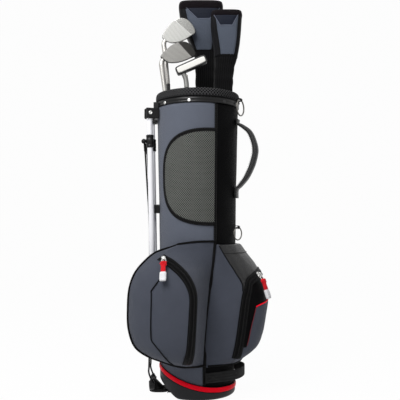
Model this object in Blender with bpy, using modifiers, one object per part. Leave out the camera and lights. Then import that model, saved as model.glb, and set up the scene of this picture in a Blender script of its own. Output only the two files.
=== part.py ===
"""Junior golf stand bag holding five clubs, two of them under head covers.

Metres, +Z up. The origin is the centre of the flat sole that the bag stands on.
The two stand legs are on the -X side and the carrying side, the spine, is on +X.
"""

import math

import bmesh
import bpy
import numpy as np
from mathutils import Matrix, Vector

# Fits
GAP = 0.0003  # between pieces that touch
RUN = 0.0006  # between pieces that turn on each other

# Bag tube
BODY_TOP_Z = 0.6995
BODY_WAIST_Z = 0.37
BODY_FOOT_Z = 0.03
BODY_TOP_R = 0.1015
BODY_WAIST_R = 0.0950
BODY_FOOT_R = 0.0905
BODY_WALL = 0.003
SEAM_TOP_DEG = 64.0  # side seams, measured from +X, above the pockets
SEAM_FOOT_DEG = 80.0  # and where they reach the base
SEAM_TOP_Z = 0.37
SEAM_FOOT_Z = 0.08

# Cuff round the mouth
CUFF_PROUD = 0.0025
CUFF_WALL = 0.0105
CUFF_R = BODY_TOP_R + CUFF_PROUD
CUFF_BORE_R = CUFF_R - CUFF_WALL
BAND_HEIGHT = 0.0135
PAD_HEIGHT = 0.0212
PAD_BULGE = 0.0012
EDGE_LIP = 0.0012
RIVET_R = 0.0042
RIVET_HEAD = 0.0016
RIVET_DROP = 0.0022  # below the middle of the band
RIVET_DEG = (-49.0, -11.0, 38.0)  # from the middle of each side, towards the spine
DIVIDER_TOP_Z = 0.690
DIVIDER_HEIGHT = 0.075
DIVIDER_WALL = 0.005
DIVIDER_CROSS_X = -0.046
DIVIDER_LONG_Y = 0.020

# Moulded base
BASE_R = 0.0925
BASE_WALL = 0.0035
BASE_FLOOR = 0.004
BASE_ROUND = 0.008
EDGE_SPINE_Z = 0.0215  # middle of the trim on the spine side
EDGE_LEG_Z = 0.0655  # and on the leg side
EDGE_POWER = 2.3
TRIM_HEIGHT = 0.0115
TRIM_PROUD = 0.0022
HEEL_X = -0.047  # where the flat sole turns up towards the legs
HEEL_DEG = 40.0

# Stand legs, and the yoke they hang from
LEG_R = 0.007
LEG_WALL = 0.0012
LEG_STAND_OFF = 0.014
LEG_HALF_SPREAD = 0.040
LEG_PIVOT_DROP = 0.0155
LEG_PIVOT_Z = BODY_TOP_Z - LEG_PIVOT_DROP
LEG_PIVOT = Vector((-(CUFF_R + LEG_STAND_OFF), LEG_HALF_SPREAD, LEG_PIVOT_Z))  # the far leg's
LEG_LENGTH = 0.560
LEG_HEAD = 0.009
LEG_LEAN_DEG = 1.3
LEG_SPLAY_DEG = 18.0
LEG_PIN_R = 0.0024
PIN_PROUD = 0.001
FOOT_R = 0.010
FOOT_LENGTH = 0.045
FOOT_PLUG = 0.018
COLLAR_R = 0.0094
COLLAR_DROP = 0.069
COLLAR_LENGTH = 0.031
COLLAR_LIP = 0.0015
BALL_R = 0.0062
BALL_REACH = 0.0135
CHEEK = 0.0036
CHEEK_FRONT = 0.011
CHEEK_BACK = 0.013
CHEEK_UP = 0.0125
CHEEK_DOWN = 0.0135
YOKE_HALF_WIDTH = 0.040
YOKE_DEPTH = 0.014
KEEPER_Z = 0.450
KEEPER_HEIGHT = 0.021
KEEPER_HALF_WIDTH = 0.0262
KEEPER_REACH_X = -0.1225

# Kick mechanism at the base
ROD_R = 0.0015
ROD_Y = 0.0290
ROD_END_R = 0.0040
ROD_SEAT = Vector((-0.112, ROD_Y, 0.0335))
ROD_TOP_DROP = 0.0020
ROD_ROUTE = (  # distance out from the leg pivots, and height, above the seat
    (0.0005, 0.0530),
    (-0.0002, 0.0750),
    (-0.0015, 0.2000),
    (-0.0002, 0.4000),
    (0.0060, 0.5100),
    (0.0125, LEG_PIVOT_Z - COLLAR_DROP - ROD_TOP_DROP),
)
ROD_TOP_Y = 0.0312
PEDAL_PIN = Vector((-0.0665, 0.0, 0.0085))
PEDAL_PIN_R = 0.0020
PEDAL_PIN_REACH = 0.0305
PEDAL_HALF_WIDTH = 0.0225
PEDAL_EAR = 0.006
PEDAL_EAR_TOP_Z = 0.028
PEDAL_EDGE = 0.001
PEDAL_BARREL_R = 0.0052
PEDAL_SOLE_Z = 0.0015
PEDAL_TOE_X = -0.119
PEDAL_PLATE = 0.0085
KNUCKLE_X = (-0.1183, -0.1030)
KNUCKLE_TOP_Z = 0.032
KNUCKLE_HALF_WIDTH = 0.0355

# Mesh pocket on the near side
MESH_Z = (0.408, 0.640)
MESH_LEFT_DEG = 57.5  # from the middle of the near side towards the legs
MESH_POWER = 2.7
MESH_THICK = 0.0016
BINDING_WIDTH = 0.0095
BINDING_THICK = 0.0026

# Carrying side
HANDLE_WIDTH = 0.026
HANDLE_END_THICK = 0.0055
HANDLE_MID_THICK = 0.0140
HANDLE_DEG = -17.0  # round the tube from the middle of the spine panel
HANDLE_ROUTE = (  # distance out from the spine panel, and height
    (0.0000, 0.6700),
    (0.0000, 0.6600),
    (0.0130, 0.6520),
    (0.0320, 0.6340),
    (0.0445, 0.5960),
    (0.0385, 0.5600),
    (0.0245, 0.5280),
    (0.0085, 0.5070),
    (0.0000, 0.4970),
    (0.0000, 0.4760),
)
UPPER_RING_DROP = 0.0005
UPPER_RING_Z = BODY_TOP_Z - UPPER_RING_DROP
UPPER_RING = {"out": 0.0052, "deg": -17.1, "z": UPPER_RING_Z, "r": 0.0195, "wire": 0.0013, "turn": 60.0}
LOWER_RING = {"out": 0.0082, "deg": -18.5, "z": 0.3890, "r": 0.0155, "wire": 0.0012, "turn": 50.0}
RING_TAB = 0.008
RING_TAB_WALL = 0.0028
BASE_STRAP_WIDTH = 0.024
BASE_STRAP_THICK = 0.0028
BASE_STRAP_ROUTE = (  # near half, from the sewn end to the middle of the loop
    (0.0180, None, 0.0530),
    (0.0340, None, 0.0530),
    (0.0500, None, 0.0530),
    (0.0710, -0.0665, 0.0535),
    (0.0960, -0.0465, 0.0545),
    (0.1100, -0.0220, 0.0560),
    (0.1140, 0.0000, 0.0570),
)

# Zips
ZIP_WIDTH = 0.019
ZIP_THICK = 0.0016
ZIP_LIFT = 0.0016
ZIP_STEPS = 5  # from the middle of the tape to a place beside it
SLIDER = (0.0095, 0.0130, 0.0055)
PULL_WIDTH = 0.0125
PULL_THICK = 0.0070
PULL_LENGTH = 0.058

# Side pocket: rows from the bottom up, each z then x, y of the columns named below
SIDE_ROWS = (
    # z, seam x, zip right (x, y), zip left (x, y), fold (x, y), edge (x, y), back x
    (0.100, 0.015, (-0.022, -0.138), (-0.030, -0.143), (-0.052, -0.143), (-0.078, -0.122), -0.070),
    (0.112, 0.016, (-0.012, -0.166), (-0.028, -0.171), (-0.070, -0.165), (-0.111, -0.130), -0.103),
    (0.135, 0.017, (-0.006, -0.183), (-0.024, -0.188), (-0.088, -0.180), (-0.141, -0.134), -0.132),
    (0.175, 0.020, (-0.004, -0.190), (-0.022, -0.195), (-0.096, -0.187), (-0.155, -0.137), -0.145),
    (0.220, 0.024, (-0.003, -0.191), (-0.021, -0.196), (-0.099, -0.188), (-0.157, -0.137), -0.147),
    (0.265, 0.029, (-0.004, -0.187), (-0.023, -0.193), (-0.097, -0.184), (-0.154, -0.135), -0.144),
    (0.300, 0.034, (-0.020, -0.175), (-0.040, -0.181), (-0.093, -0.174), (-0.142, -0.130), -0.132),
    (0.328, 0.038, (-0.045, -0.155), (-0.062, -0.159), (-0.091, -0.152), (-0.119, -0.121), -0.109),
    (0.348, 0.041, (-0.064, -0.131), (-0.075, -0.131), (-0.085, -0.124), (-0.094, -0.109), -0.087),
    (0.364, 0.043, (-0.038, -0.107), (-0.045, -0.106), (-0.052, -0.101), (-0.057, -0.093), -0.055),
)
SIDE_BACK_Y = -0.0715
SIDE_TOP_RISE = ((0.004, 0.003), (0.0105, 0.0078))  # of the top two rows, at the seam and the gusset
SIDE_FOOT_DROP = (  # of the lowest two rows, from the seam to the fold
    (0.0190, 0.0160, 0.0110, 0.0100, 0.0060),
    (0.0090, 0.0070, 0.0045, 0.0040, 0.0020),
)
SIDE_ZIP_SHARES = (  # of the way across the columns, and up the rows
    (0.368, 0.0778),
    (0.369, 0.2500),
    (0.352, 0.4000),
    (0.343, 0.4900),
    (0.350, 0.5700),
    (0.354, 0.6478),
    (0.380, 0.7050),
    (0.425, 0.7580),
    (0.484, 0.8050),
    (0.535, 0.8260),
)
SIDE_PULL_SHARES = (0.490, 0.7770)
SIDE_REST_SHARES = (0.523, 0.6450)  # the place on the pocket that the pull hangs against

# Ball pocket on the spine side: rows from the bottom up
BALL_ROWS = (
    # z, seam x, zip inner (x, y), zip outer (x, y), front corner (x, y), front x
    (0.084, 0.030, (0.070, -0.074), (0.084, -0.070), (0.100, -0.046), 0.108),
    (0.098, 0.020, (0.080, -0.088), (0.096, -0.083), (0.118, -0.056), 0.130),
    (0.118, 0.018, (0.085, -0.093), (0.104, -0.087), (0.136, -0.062), 0.152),
    (0.145, 0.019, (0.090, -0.095), (0.111, -0.089), (0.147, -0.064), 0.162),
    (0.190, 0.023, (0.096, -0.097), (0.119, -0.091), (0.157, -0.066), 0.171),
    (0.235, 0.028, (0.102, -0.097), (0.125, -0.091), (0.161, -0.066), 0.175),
    (0.268, 0.032, (0.106, -0.096), (0.125, -0.088), (0.155, -0.060), 0.168),
    (0.300, 0.036, (0.088, -0.094), (0.112, -0.082), (0.138, -0.052), 0.153),
    (0.334, 0.040, (0.066, -0.093), (0.088, -0.081), (0.113, -0.052), 0.129),
    (0.362, 0.044, (0.051, -0.091), (0.066, -0.083), (0.090, -0.056), 0.108),
)
BALL_ZIP_SHARES = (  # near half, up to the middle of the front
    (0.1875, 0.1000),
    (0.1875, 0.2000),
    (0.1850, 0.3333),
    (0.1850, 0.4889),
    (0.2000, 0.6111),
    (0.2550, 0.6950),
    (0.3750, 0.7480),
    (0.5000, 0.7680),
)
BALL_PULL_SHARES = (0.3550, 0.7244)
BALL_REST_SHARES = (0.3600, 0.5700)
POCKET_PROUD = 0.001
SIDE_CORE_SHARES = ((-0.47, -0.47), (0.0, -0.58), (0.126, -0.684))  # of the tube's waist radius
BALL_CORE_SHARES = ((0.316, 0.526), (0.474, 0.0), (0.316, -0.526))

# Clubs: where each shaft crosses the rim and where its butt stands
RIM_Z = BODY_TOP_Z + GAP + BAND_HEIGHT + GAP + PAD_HEIGHT
SHAFT_TIP_R = 0.0040
SHAFT_BUTT_R = 0.0062
SHAFT_WALL = 0.0009
GRIP_LENGTH = 0.190
GRIP_BUTT_R = 0.0110
GRIP_MOUTH_R = 0.0082
GRIP_CAP = 0.004
HOSEL_R = 0.0062
HOSEL_BORE_DEPTH = 0.020
HEEL_RISE = 0.014  # from the shaft's tip to the heel of an iron
HOSEL_RISE = 0.006
PUTTER_RISE = 0.006
PUTTER_SEAT = 0.004
GRIP_EDGE = 0.001
CLUBS = {
    "iron_1": {"rim": (-0.072, 0.0165), "butt": (-0.020, 0.026), "tip_z": 0.858},
    "iron_2": {"rim": (-0.080, -0.019), "butt": (-0.022, -0.024), "tip_z": 0.802},
    "putter": {"rim": (-0.026, -0.045), "butt": (0.018, -0.050), "tip_z": 0.778},
    "driver": {"rim": (0.017, 0.058), "butt": (0.022, 0.052), "tip_z": 0.890},
    "hybrid": {"rim": (0.064, -0.012), "butt": (0.040, -0.005), "tip_z": 0.868},
}
BLADE_SHARES = (  # outline of an iron's face: from heel to toe, and towards the sole
    (0.00, 0.22),
    (0.10, 0.46),
    (0.35, 0.76),
    (0.56, 0.87),
    (0.72, 0.87),
    (0.88, 0.71),
    (0.98, 0.42),
    (1.00, 0.10),
    (0.82, -0.02),
    (0.62, -0.11),
    (0.42, -0.14),
    (0.19, -0.07),
)
IRON_1_BLADE = {"length": 0.083, "height": 0.057, "tilt": 15.0, "thick": 0.0115}
IRON_2_BLADE = {"length": 0.086, "height": 0.050, "tilt": 8.0, "thick": 0.0115}
PUTTER_BLADE = {"length": 0.080, "heel": 0.26, "height": 0.021, "depth": 0.022, "tilt": 24.0, "round": 0.003}
COVER_WALL = 0.0026
COVER_CLEAR = 0.0012
COVER_CROWN = 0.0008
SOCK_FOOT_Z = 0.704
DRIVER_COVER = (  # height, half width, half depth, shift along X from the shaft
    (SOCK_FOOT_Z, 0.0215, 0.0215, 0.000),
    (0.780, 0.0225, 0.0220, 0.000),
    (0.845, 0.0240, 0.0230, 0.000),
    (0.868, 0.0275, 0.0250, -0.001),
    (0.898, 0.0390, 0.0310, -0.004),
    (0.930, 0.0495, 0.0350, -0.007),
    (0.958, 0.0555, 0.0360, -0.008),
    (0.982, 0.0565, 0.0350, -0.008),
    (0.991, 0.0540, 0.0320, -0.008),
)
HYBRID_COVER = (
    (SOCK_FOOT_Z, 0.0205, 0.0205, 0.000),
    (0.760, 0.0225, 0.0215, 0.000),
    (0.805, 0.0240, 0.0220, 0.000),
    (0.828, 0.0275, 0.0230, 0.002),
    (0.842, 0.0290, 0.0245, 0.003),
    (0.870, 0.0330, 0.0275, 0.002),
    (0.905, 0.0370, 0.0300, 0.000),
    (0.930, 0.0370, 0.0300, 0.000),
    (0.942, 0.0345, 0.0270, 0.000),
)
HEAD_WALL_SHARE = 0.13  # share of a wood head's half size taken by its wall
HEAD_ROWS = 3  # rows of a cover, from the top, that its club head fills

# Mesh fineness
RING_STEPS = 36
PIPE_STEPS = 12


# Curves and surfaces


def smooth_rows(rows, count, closed=False):
    """count points on the curve through rows; a row may hold any number of coordinates."""
    rows = np.asarray(rows, float)
    last = len(rows) if closed else len(rows) - 1
    return smooth_at(rows, np.linspace(0, last, count, endpoint=not closed), closed)


def smooth_at(rows, params, closed=False):
    """Points of the Catmull-Rom curve through rows, at params counted in rows."""
    rows = np.asarray(rows, float)
    params = np.asarray(params, float)
    number = len(rows)
    if not closed:
        rows = np.concatenate([[2 * rows[0] - rows[1]], rows, [2 * rows[-1] - rows[-2]]])
    start = np.clip(np.floor(params).astype(int), 0, number - (1 if closed else 2))
    t = (params - start).reshape((-1,) + (1,) * (rows.ndim - 1))
    picks = [(start + k - 1) % number if closed else start + k for k in range(4)]
    a, b, c, d = (rows[p] for p in picks)
    return b + 0.5 * t * (c - a + t * (2 * a - 5 * b + 4 * c - d + t * (3 * (b - c) + d - a)))


def net_point(net, column, row):
    """The point of the surface through a net of rows and columns."""
    return smooth_at(smooth_at(net, [row])[0], [column])[0]


def net_grid(net, columns, rows):
    across = smooth_at(np.swapaxes(net, 0, 1), columns)
    return smooth_at(np.swapaxes(across, 0, 1), rows)


def body_radius(z):
    """Outer radius of the bag tube, which is slimmest at the base and flares to the cuff."""
    if z >= BODY_WAIST_Z:
        share = (z - BODY_WAIST_Z) / (BODY_TOP_Z - BODY_WAIST_Z)
        return BODY_WAIST_R + share * (BODY_TOP_R - BODY_WAIST_R)
    share = (z - BODY_FOOT_Z) / (BODY_WAIST_Z - BODY_FOOT_Z)
    return BODY_FOOT_R + share * (BODY_WAIST_R - BODY_FOOT_R)


def seam_angle(z):
    """Half the spread of the spine panel, in radians."""
    share = min(max((z - SEAM_FOOT_Z) / (SEAM_TOP_Z - SEAM_FOOT_Z), 0), 1)
    return math.radians(SEAM_FOOT_DEG + share * (SEAM_TOP_DEG - SEAM_FOOT_DEG))


def base_edge(angle):
    """Height of the middle of the base trim at an angle from +X."""
    share = (1 - math.cos(angle)) / 2
    return EDGE_SPINE_Z + (EDGE_LEG_Z - EDGE_SPINE_Z) * share**EDGE_POWER


def on_body(angle, z, out=0.0):
    radius = body_radius(z) + out
    return Vector((radius * math.cos(angle), radius * math.sin(angle), z))


# Scene


def fresh_collection(name):
    collection = bpy.data.collections.new(name)
    bpy.context.scene.collection.children.link(collection)
    return collection


for old in list(bpy.data.objects):
    bpy.data.objects.remove(old, do_unlink=True)
PARTS = fresh_collection("golf_stand_bag_set")
CUTTERS = fresh_collection("cutters")


def finish(name, colour, roughness, metallic=0.0):
    material = bpy.data.materials.new(name)
    material.use_nodes = True
    shader = material.node_tree.nodes["Principled BSDF"]
    shader.inputs["Base Color"].default_value = (*colour, 1)
    shader.inputs["Roughness"].default_value = roughness
    shader.inputs["Metallic"].default_value = metallic
    return material


GREY_CLOTH = finish("grey_cloth", (0.075, 0.082, 0.105), 0.75)
BLACK_CLOTH = finish("black_cloth", (0.012, 0.012, 0.014), 0.7)
GREY_MESH = finish("grey_mesh", (0.085, 0.088, 0.080), 0.8)
BLACK_PLASTIC = finish("black_plastic", (0.018, 0.018, 0.018), 0.5)
RED_TRIM = finish("red_trim", (0.62, 0.012, 0.030), 0.5)
WHITE_TUBE = finish("white_tube", (0.80, 0.80, 0.83), 0.35)
BLACK_RUBBER = finish("black_rubber", (0.016, 0.016, 0.016), 0.8)
STEEL = finish("steel", (0.62, 0.62, 0.60), 0.28, 1.0)
DARK_STEEL = finish("dark_steel", (0.13, 0.13, 0.13), 0.35, 1.0)


def new_object(name, mesh, collection):
    thing = bpy.data.objects.new(name, mesh)
    collection.objects.link(thing)
    return thing


def part(name, mesh, material):
    thing = new_object(name, mesh, PARTS)
    mesh.materials.clear()
    mesh.materials.append(material)
    mesh.shade_smooth()
    mesh.set_sharp_from_angle(angle=math.radians(40))
    return thing


def helper(name, mesh):
    """A shape that only cuts or joins another."""
    thing = new_object(name, mesh, CUTTERS)
    thing.hide_render = True
    thing.display_type = "WIRE"
    return thing


def combine(thing, tool, operation):
    change = thing.modifiers.new(operation.lower() + "_" + tool.name, "BOOLEAN")
    change.operation = operation
    change.object = tool
    return thing


def cut(thing, tool):
    return combine(thing, tool, "DIFFERENCE")


def join(thing, tool):
    return combine(thing, tool, "UNION")


def thicken(thing, thickness, offset):
    """Solidify: offset 1 adds the wall on the side the faces point to, -1 on the other."""
    wall = thing.modifiers.new("wall", "SOLIDIFY")
    wall.thickness = thickness
    wall.offset = offset
    wall.use_even_offset = True
    return thing


def bevel(thing, width, segments=2):
    edge = thing.modifiers.new("rounded_edges", "BEVEL")
    edge.width = width
    edge.segments = segments
    edge.limit_method = "ANGLE"
    return thing


def seat(thing, pivot):
    """Moves the object's origin to its pivot without moving its shape."""
    thing.data.transform(Matrix.Translation(-pivot))
    thing.location = pivot
    return thing


# Meshes


def grid_mesh(name, grid, wrap=False, wrap_rows=False, caps=(False, False)):
    """A surface through grid[row][column]; wrap closes each row, caps close the first and last."""
    grid = np.asarray(grid, float)
    rows, columns = grid.shape[:2]
    shape = bmesh.new()
    points = [[shape.verts.new(p) for p in row] for row in grid]
    for i in range(rows if wrap_rows else rows - 1):
        low, high = points[i], points[(i + 1) % rows]
        for j in range(columns if wrap else columns - 1):
            k = (j + 1) % columns
            shape.faces.new((low[j], low[k], high[k], high[j]))
    if caps[0]:
        shape.faces.new(points[0][::-1])
    if caps[1]:
        shape.faces.new(points[-1])
    if wrap and (wrap_rows or all(caps)):
        bmesh.ops.recalc_face_normals(shape, faces=shape.faces)
    mesh = bpy.data.meshes.new(name)
    shape.to_mesh(mesh)
    shape.free()
    return mesh


def box_mesh(name, low, high):
    low, high = Vector(low), Vector(high)
    shape = bmesh.new()
    bmesh.ops.create_cube(shape, size=1)
    bmesh.ops.scale(shape, vec=high - low, verts=shape.verts)
    bmesh.ops.translate(shape, vec=(low + high) / 2, verts=shape.verts)
    mesh = bpy.data.meshes.new(name)
    shape.to_mesh(mesh)
    shape.free()
    return mesh


def placed(mesh, matrix):
    """Carries a mesh into a frame, keeping its faces outward if the frame is mirrored."""
    mesh.transform(matrix)
    if matrix.determinant() < 0:
        mesh.flip_normals()
    mesh.update()
    return mesh


def rod_mesh(name, start, end, radius, end_radius=None, sides=PIPE_STEPS):
    """A straight round bar between two points."""
    start, end = Vector(start), Vector(end)
    along = end - start
    shape = bmesh.new()
    bmesh.ops.create_cone(
        shape,
        cap_ends=True,
        segments=sides,
        radius1=radius,
        radius2=radius if end_radius is None else end_radius,
        depth=along.length,
    )
    turn = along.to_track_quat("Z", "Y").to_matrix().to_4x4()
    bmesh.ops.transform(shape, matrix=Matrix.Translation((start + end) / 2) @ turn, verts=shape.verts)
    mesh = bpy.data.meshes.new(name)
    shape.to_mesh(mesh)
    shape.free()
    return mesh


def ball_mesh(name, centre, radius, around=10, up=7):
    shape = bmesh.new()
    bmesh.ops.create_uvsphere(shape, u_segments=around, v_segments=up, radius=radius)
    bmesh.ops.translate(shape, vec=centre, verts=shape.verts)
    mesh = bpy.data.meshes.new(name)
    shape.to_mesh(mesh)
    shape.free()
    return mesh


def profile_mesh(name, profile, closed=False):
    """Edges through (radius, height) points, to be turned about Z by a Screw modifier."""
    mesh = bpy.data.meshes.new(name)
    edges = [(i, i + 1) for i in range(len(profile) - 1)]
    if closed:
        edges.append((len(profile) - 1, 0))
    mesh.from_pydata([(r, 0, z) for r, z in profile], edges, [])
    return mesh


def turn(thing, steps=RING_STEPS):
    screw = thing.modifiers.new("turned", "SCREW")
    screw.angle = 2 * math.pi
    screw.steps = steps
    screw.render_steps = steps
    screw.use_merge_vertices = True
    screw.merge_threshold = 0.00001
    screw.use_smooth_shade = True
    return thing


def turned_part(name, profile, material, steps=RING_STEPS, closed=False):
    thing = new_object(name, profile_mesh(name, profile, closed), PARTS)
    thing.data.materials.append(material)
    return turn(thing, steps)


def solid_mesh(name, source):
    """The finished mesh of an object with modifiers, in world space."""
    bpy.context.view_layer.update()
    graph = bpy.context.evaluated_depsgraph_get()
    mesh = bpy.data.meshes.new_from_object(source.evaluated_get(graph))
    mesh.name = name
    mesh.transform(source.matrix_world)
    return mesh


# Bag tube


def panel_grid(first, last, columns, rows):
    """Rows of the tube wall from the base edge up, between two angles that may vary with height."""
    grid = []
    for row in range(rows):
        share = row / (rows - 1)
        line = []
        for column in range(columns):
            z = BODY_FOOT_Z
            for _ in range(3):  # the foot of each column is on the sloping base edge
                angle = first(z) + (last(z) - first(z)) * column / (columns - 1)
                foot = base_edge(angle) + TRIM_HEIGHT / 2 + GAP
                z = foot + share * (BODY_TOP_Z - foot)
            line.append(on_body(angle, z))
        grid.append(line)
    return grid


def make_tube():
    slit = GAP * 3 / BODY_FOOT_R
    spine = panel_grid(lambda z: -seam_angle(z), seam_angle, 13, 9)
    far_edge = lambda z: seam_angle(z) + slit
    near_edge = lambda z: 2 * math.pi - seam_angle(z) - slit
    side = panel_grid(far_edge, near_edge, 27, 9)
    thicken(part("spine_panel", grid_mesh("spine_panel", spine), BLACK_CLOTH), BODY_WALL, -1)
    thicken(part("side_panel", grid_mesh("side_panel", side), GREY_CLOTH), BODY_WALL, -1)


def make_cuff():
    band_foot = BODY_TOP_Z + GAP
    band_top = band_foot + BAND_HEIGHT
    band = (
        (CUFF_R - EDGE_LIP, band_top),
        (CUFF_R, band_top - EDGE_LIP),
        (CUFF_R, band_foot + EDGE_LIP),
        (CUFF_R - EDGE_LIP, band_foot),
        (CUFF_BORE_R, band_foot),
        (CUFF_BORE_R, band_top),
    )
    turned_part("cuff_band", band, BLACK_PLASTIC, closed=True)
    foot = band_top + GAP
    middle = foot + PAD_HEIGHT / 2
    wall = CUFF_R - CUFF_BORE_R
    crown = foot + PAD_HEIGHT
    pad = (
        (CUFF_R - wall * 0.42, crown),
        (CUFF_R - wall * 0.14, crown - PAD_HEIGHT * 0.12),
        (CUFF_R + PAD_BULGE * 0.6, crown - PAD_HEIGHT * 0.3),
        (CUFF_R + PAD_BULGE, middle),
        (CUFF_R, foot),
        (CUFF_BORE_R, foot),
        (CUFF_BORE_R, crown - PAD_HEIGHT * 0.3),
        (CUFF_BORE_R + wall * 0.2, crown - PAD_HEIGHT * 0.06),
    )
    turned_part("cuff_pad", pad, BLACK_CLOTH, closed=True)
    height = (band_foot + band_top) / 2 - RIVET_DROP
    number = 0
    for side in (-1, 1):
        for lean in RIVET_DEG:
            number += 1
            angle = side * (math.pi / 2 - math.radians(lean))
            out = Vector((math.cos(angle), math.sin(angle), 0))
            foot_point = out * (CUFF_R + GAP) + Vector((0, 0, height))
            head_point = foot_point + out * RIVET_HEAD
            rivet = rod_mesh("rivet", foot_point, head_point, RIVET_R, RIVET_R * 0.6)
            part(f"cuff_rivet_{number}", rivet, STEEL)


def make_divider():
    """Two crossing bars that split the mouth into three wells, trimmed to the tube's bore."""
    low = DIVIDER_TOP_Z - DIVIDER_HEIGHT
    half = DIVIDER_WALL / 2
    cross_low = (DIVIDER_CROSS_X - half, -BODY_TOP_R, low)
    cross_high = (DIVIDER_CROSS_X + half, BODY_TOP_R, DIVIDER_TOP_Z)
    divider = part("club_divider", box_mesh("club_divider", cross_low, cross_high), BLACK_CLOTH)
    long_low = (DIVIDER_CROSS_X, DIVIDER_LONG_Y - half, low)
    long_high = (BODY_TOP_R, DIVIDER_LONG_Y + half, DIVIDER_TOP_Z)
    join(divider, helper("divider_long_bar", box_mesh("divider_long_bar", long_low, long_high)))
    bore = [body_radius(z) - BODY_WALL - GAP * 2 for z in (low, DIVIDER_TOP_Z)]
    trim = rod_mesh("divider_bore", (0, 0, low), (0, 0, DIVIDER_TOP_Z), bore[0], bore[1], RING_STEPS)
    trim.transform(Matrix.Diagonal((1, 1, 1.02, 1)).to_4x4())
    trim.transform(Matrix.Translation((0, 0, -0.01 * (low + DIVIDER_TOP_Z))))
    combine(divider, helper("divider_bore", trim), "INTERSECT")


# Base


def cup_rows(radius, floor, top_extra):
    """Rings of a cup-shaped solid: rounded foot, wall up to the base edge."""
    angles = [2 * math.pi * k / RING_STEPS for k in range(RING_STEPS)]
    rows = []
    for inset, lift in ((BASE_ROUND, 0), (BASE_ROUND * 0.3, BASE_ROUND * 0.3), (0, BASE_ROUND)):
        ring_radius = radius - inset
        rows.append([(ring_radius * math.cos(a), ring_radius * math.sin(a), floor + lift) for a in angles])
    top = [base_edge(a) - TRIM_HEIGHT / 2 - GAP + top_extra for a in angles]
    for reach in (radius, radius - 2 * BASE_WALL):  # the rim is as high inside as outside
        rows.append([(reach * math.cos(a), reach * math.sin(a), z) for a, z in zip(angles, top)])
    return rows


def heel_cutter(name, lift):
    """A block below the plane that the sole turns up along, moved in by lift."""
    size = 4 * BASE_R
    mesh = box_mesh(name, (-size, -size, -size), (0, size, 0))
    slope = Matrix.Rotation(math.radians(HEEL_DEG), 4, "Y")
    mesh.transform(Matrix.Translation((HEEL_X, 0, 0)) @ slope @ Matrix.Translation((0, 0, lift)))
    return helper(name, mesh)


def make_base():
    boot_mesh = grid_mesh("base_boot", cup_rows(BASE_R, 0, 0), wrap=True, caps=(True, True))
    base = part("base_boot", boot_mesh, BLACK_PLASTIC)
    cut(base, heel_cutter("heel_plane", 0))
    well_rows = cup_rows(BASE_R - BASE_WALL, BASE_FLOOR, BASE_ROUND * 2.5)
    well_mesh = grid_mesh("base_well", well_rows, wrap=True, caps=(True, True))
    cut(base, cut(helper("base_well", well_mesh), heel_cutter("heel_inner_plane", BASE_FLOOR)))
    for side in (-1, 1):
        near = side * (PEDAL_HALF_WIDTH + RUN)
        far = side * (PEDAL_HALF_WIDTH + RUN + PEDAL_EAR)
        low = (PEDAL_PIN.x - PEDAL_EAR, min(near, far), PEDAL_PIN.z - PEDAL_EAR)
        high = (PEDAL_PIN.x + PEDAL_EAR, max(near, far), PEDAL_EAR_TOP_Z)
        ear = helper(f"pedal_ear_{side}", box_mesh("pedal_ear", low, high))
        join(base, cut(ear, bpy.data.objects["base_well"]))
    pin_ends = [PEDAL_PIN + Vector((0, side * (PEDAL_PIN_REACH + GAP), 0)) for side in (-1, 1)]
    cut(base, helper("pedal_pin_hole", rod_mesh("pedal_pin_hole", *pin_ends, PEDAL_PIN_R + GAP)))
    make_trim()


def make_trim():
    rings = []
    for k in range(RING_STEPS):
        angle = 2 * math.pi * k / RING_STEPS
        middle = base_edge(angle)
        half = TRIM_HEIGHT / 2
        section = (
            (BASE_R - BASE_WALL, middle - half),
            (BASE_R, middle - half),
            (BASE_R + TRIM_PROUD, middle - half * 0.5),
            (BASE_R + TRIM_PROUD, middle + half * 0.5),
            (BASE_R, middle + half),
            (BASE_R - BASE_WALL, middle + half),
        )
        rings.append([(r * math.cos(angle), r * math.sin(angle), z) for r, z in section])
    part("base_trim", grid_mesh("base_trim", rings, wrap=True, wrap_rows=True), RED_TRIM)


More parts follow.
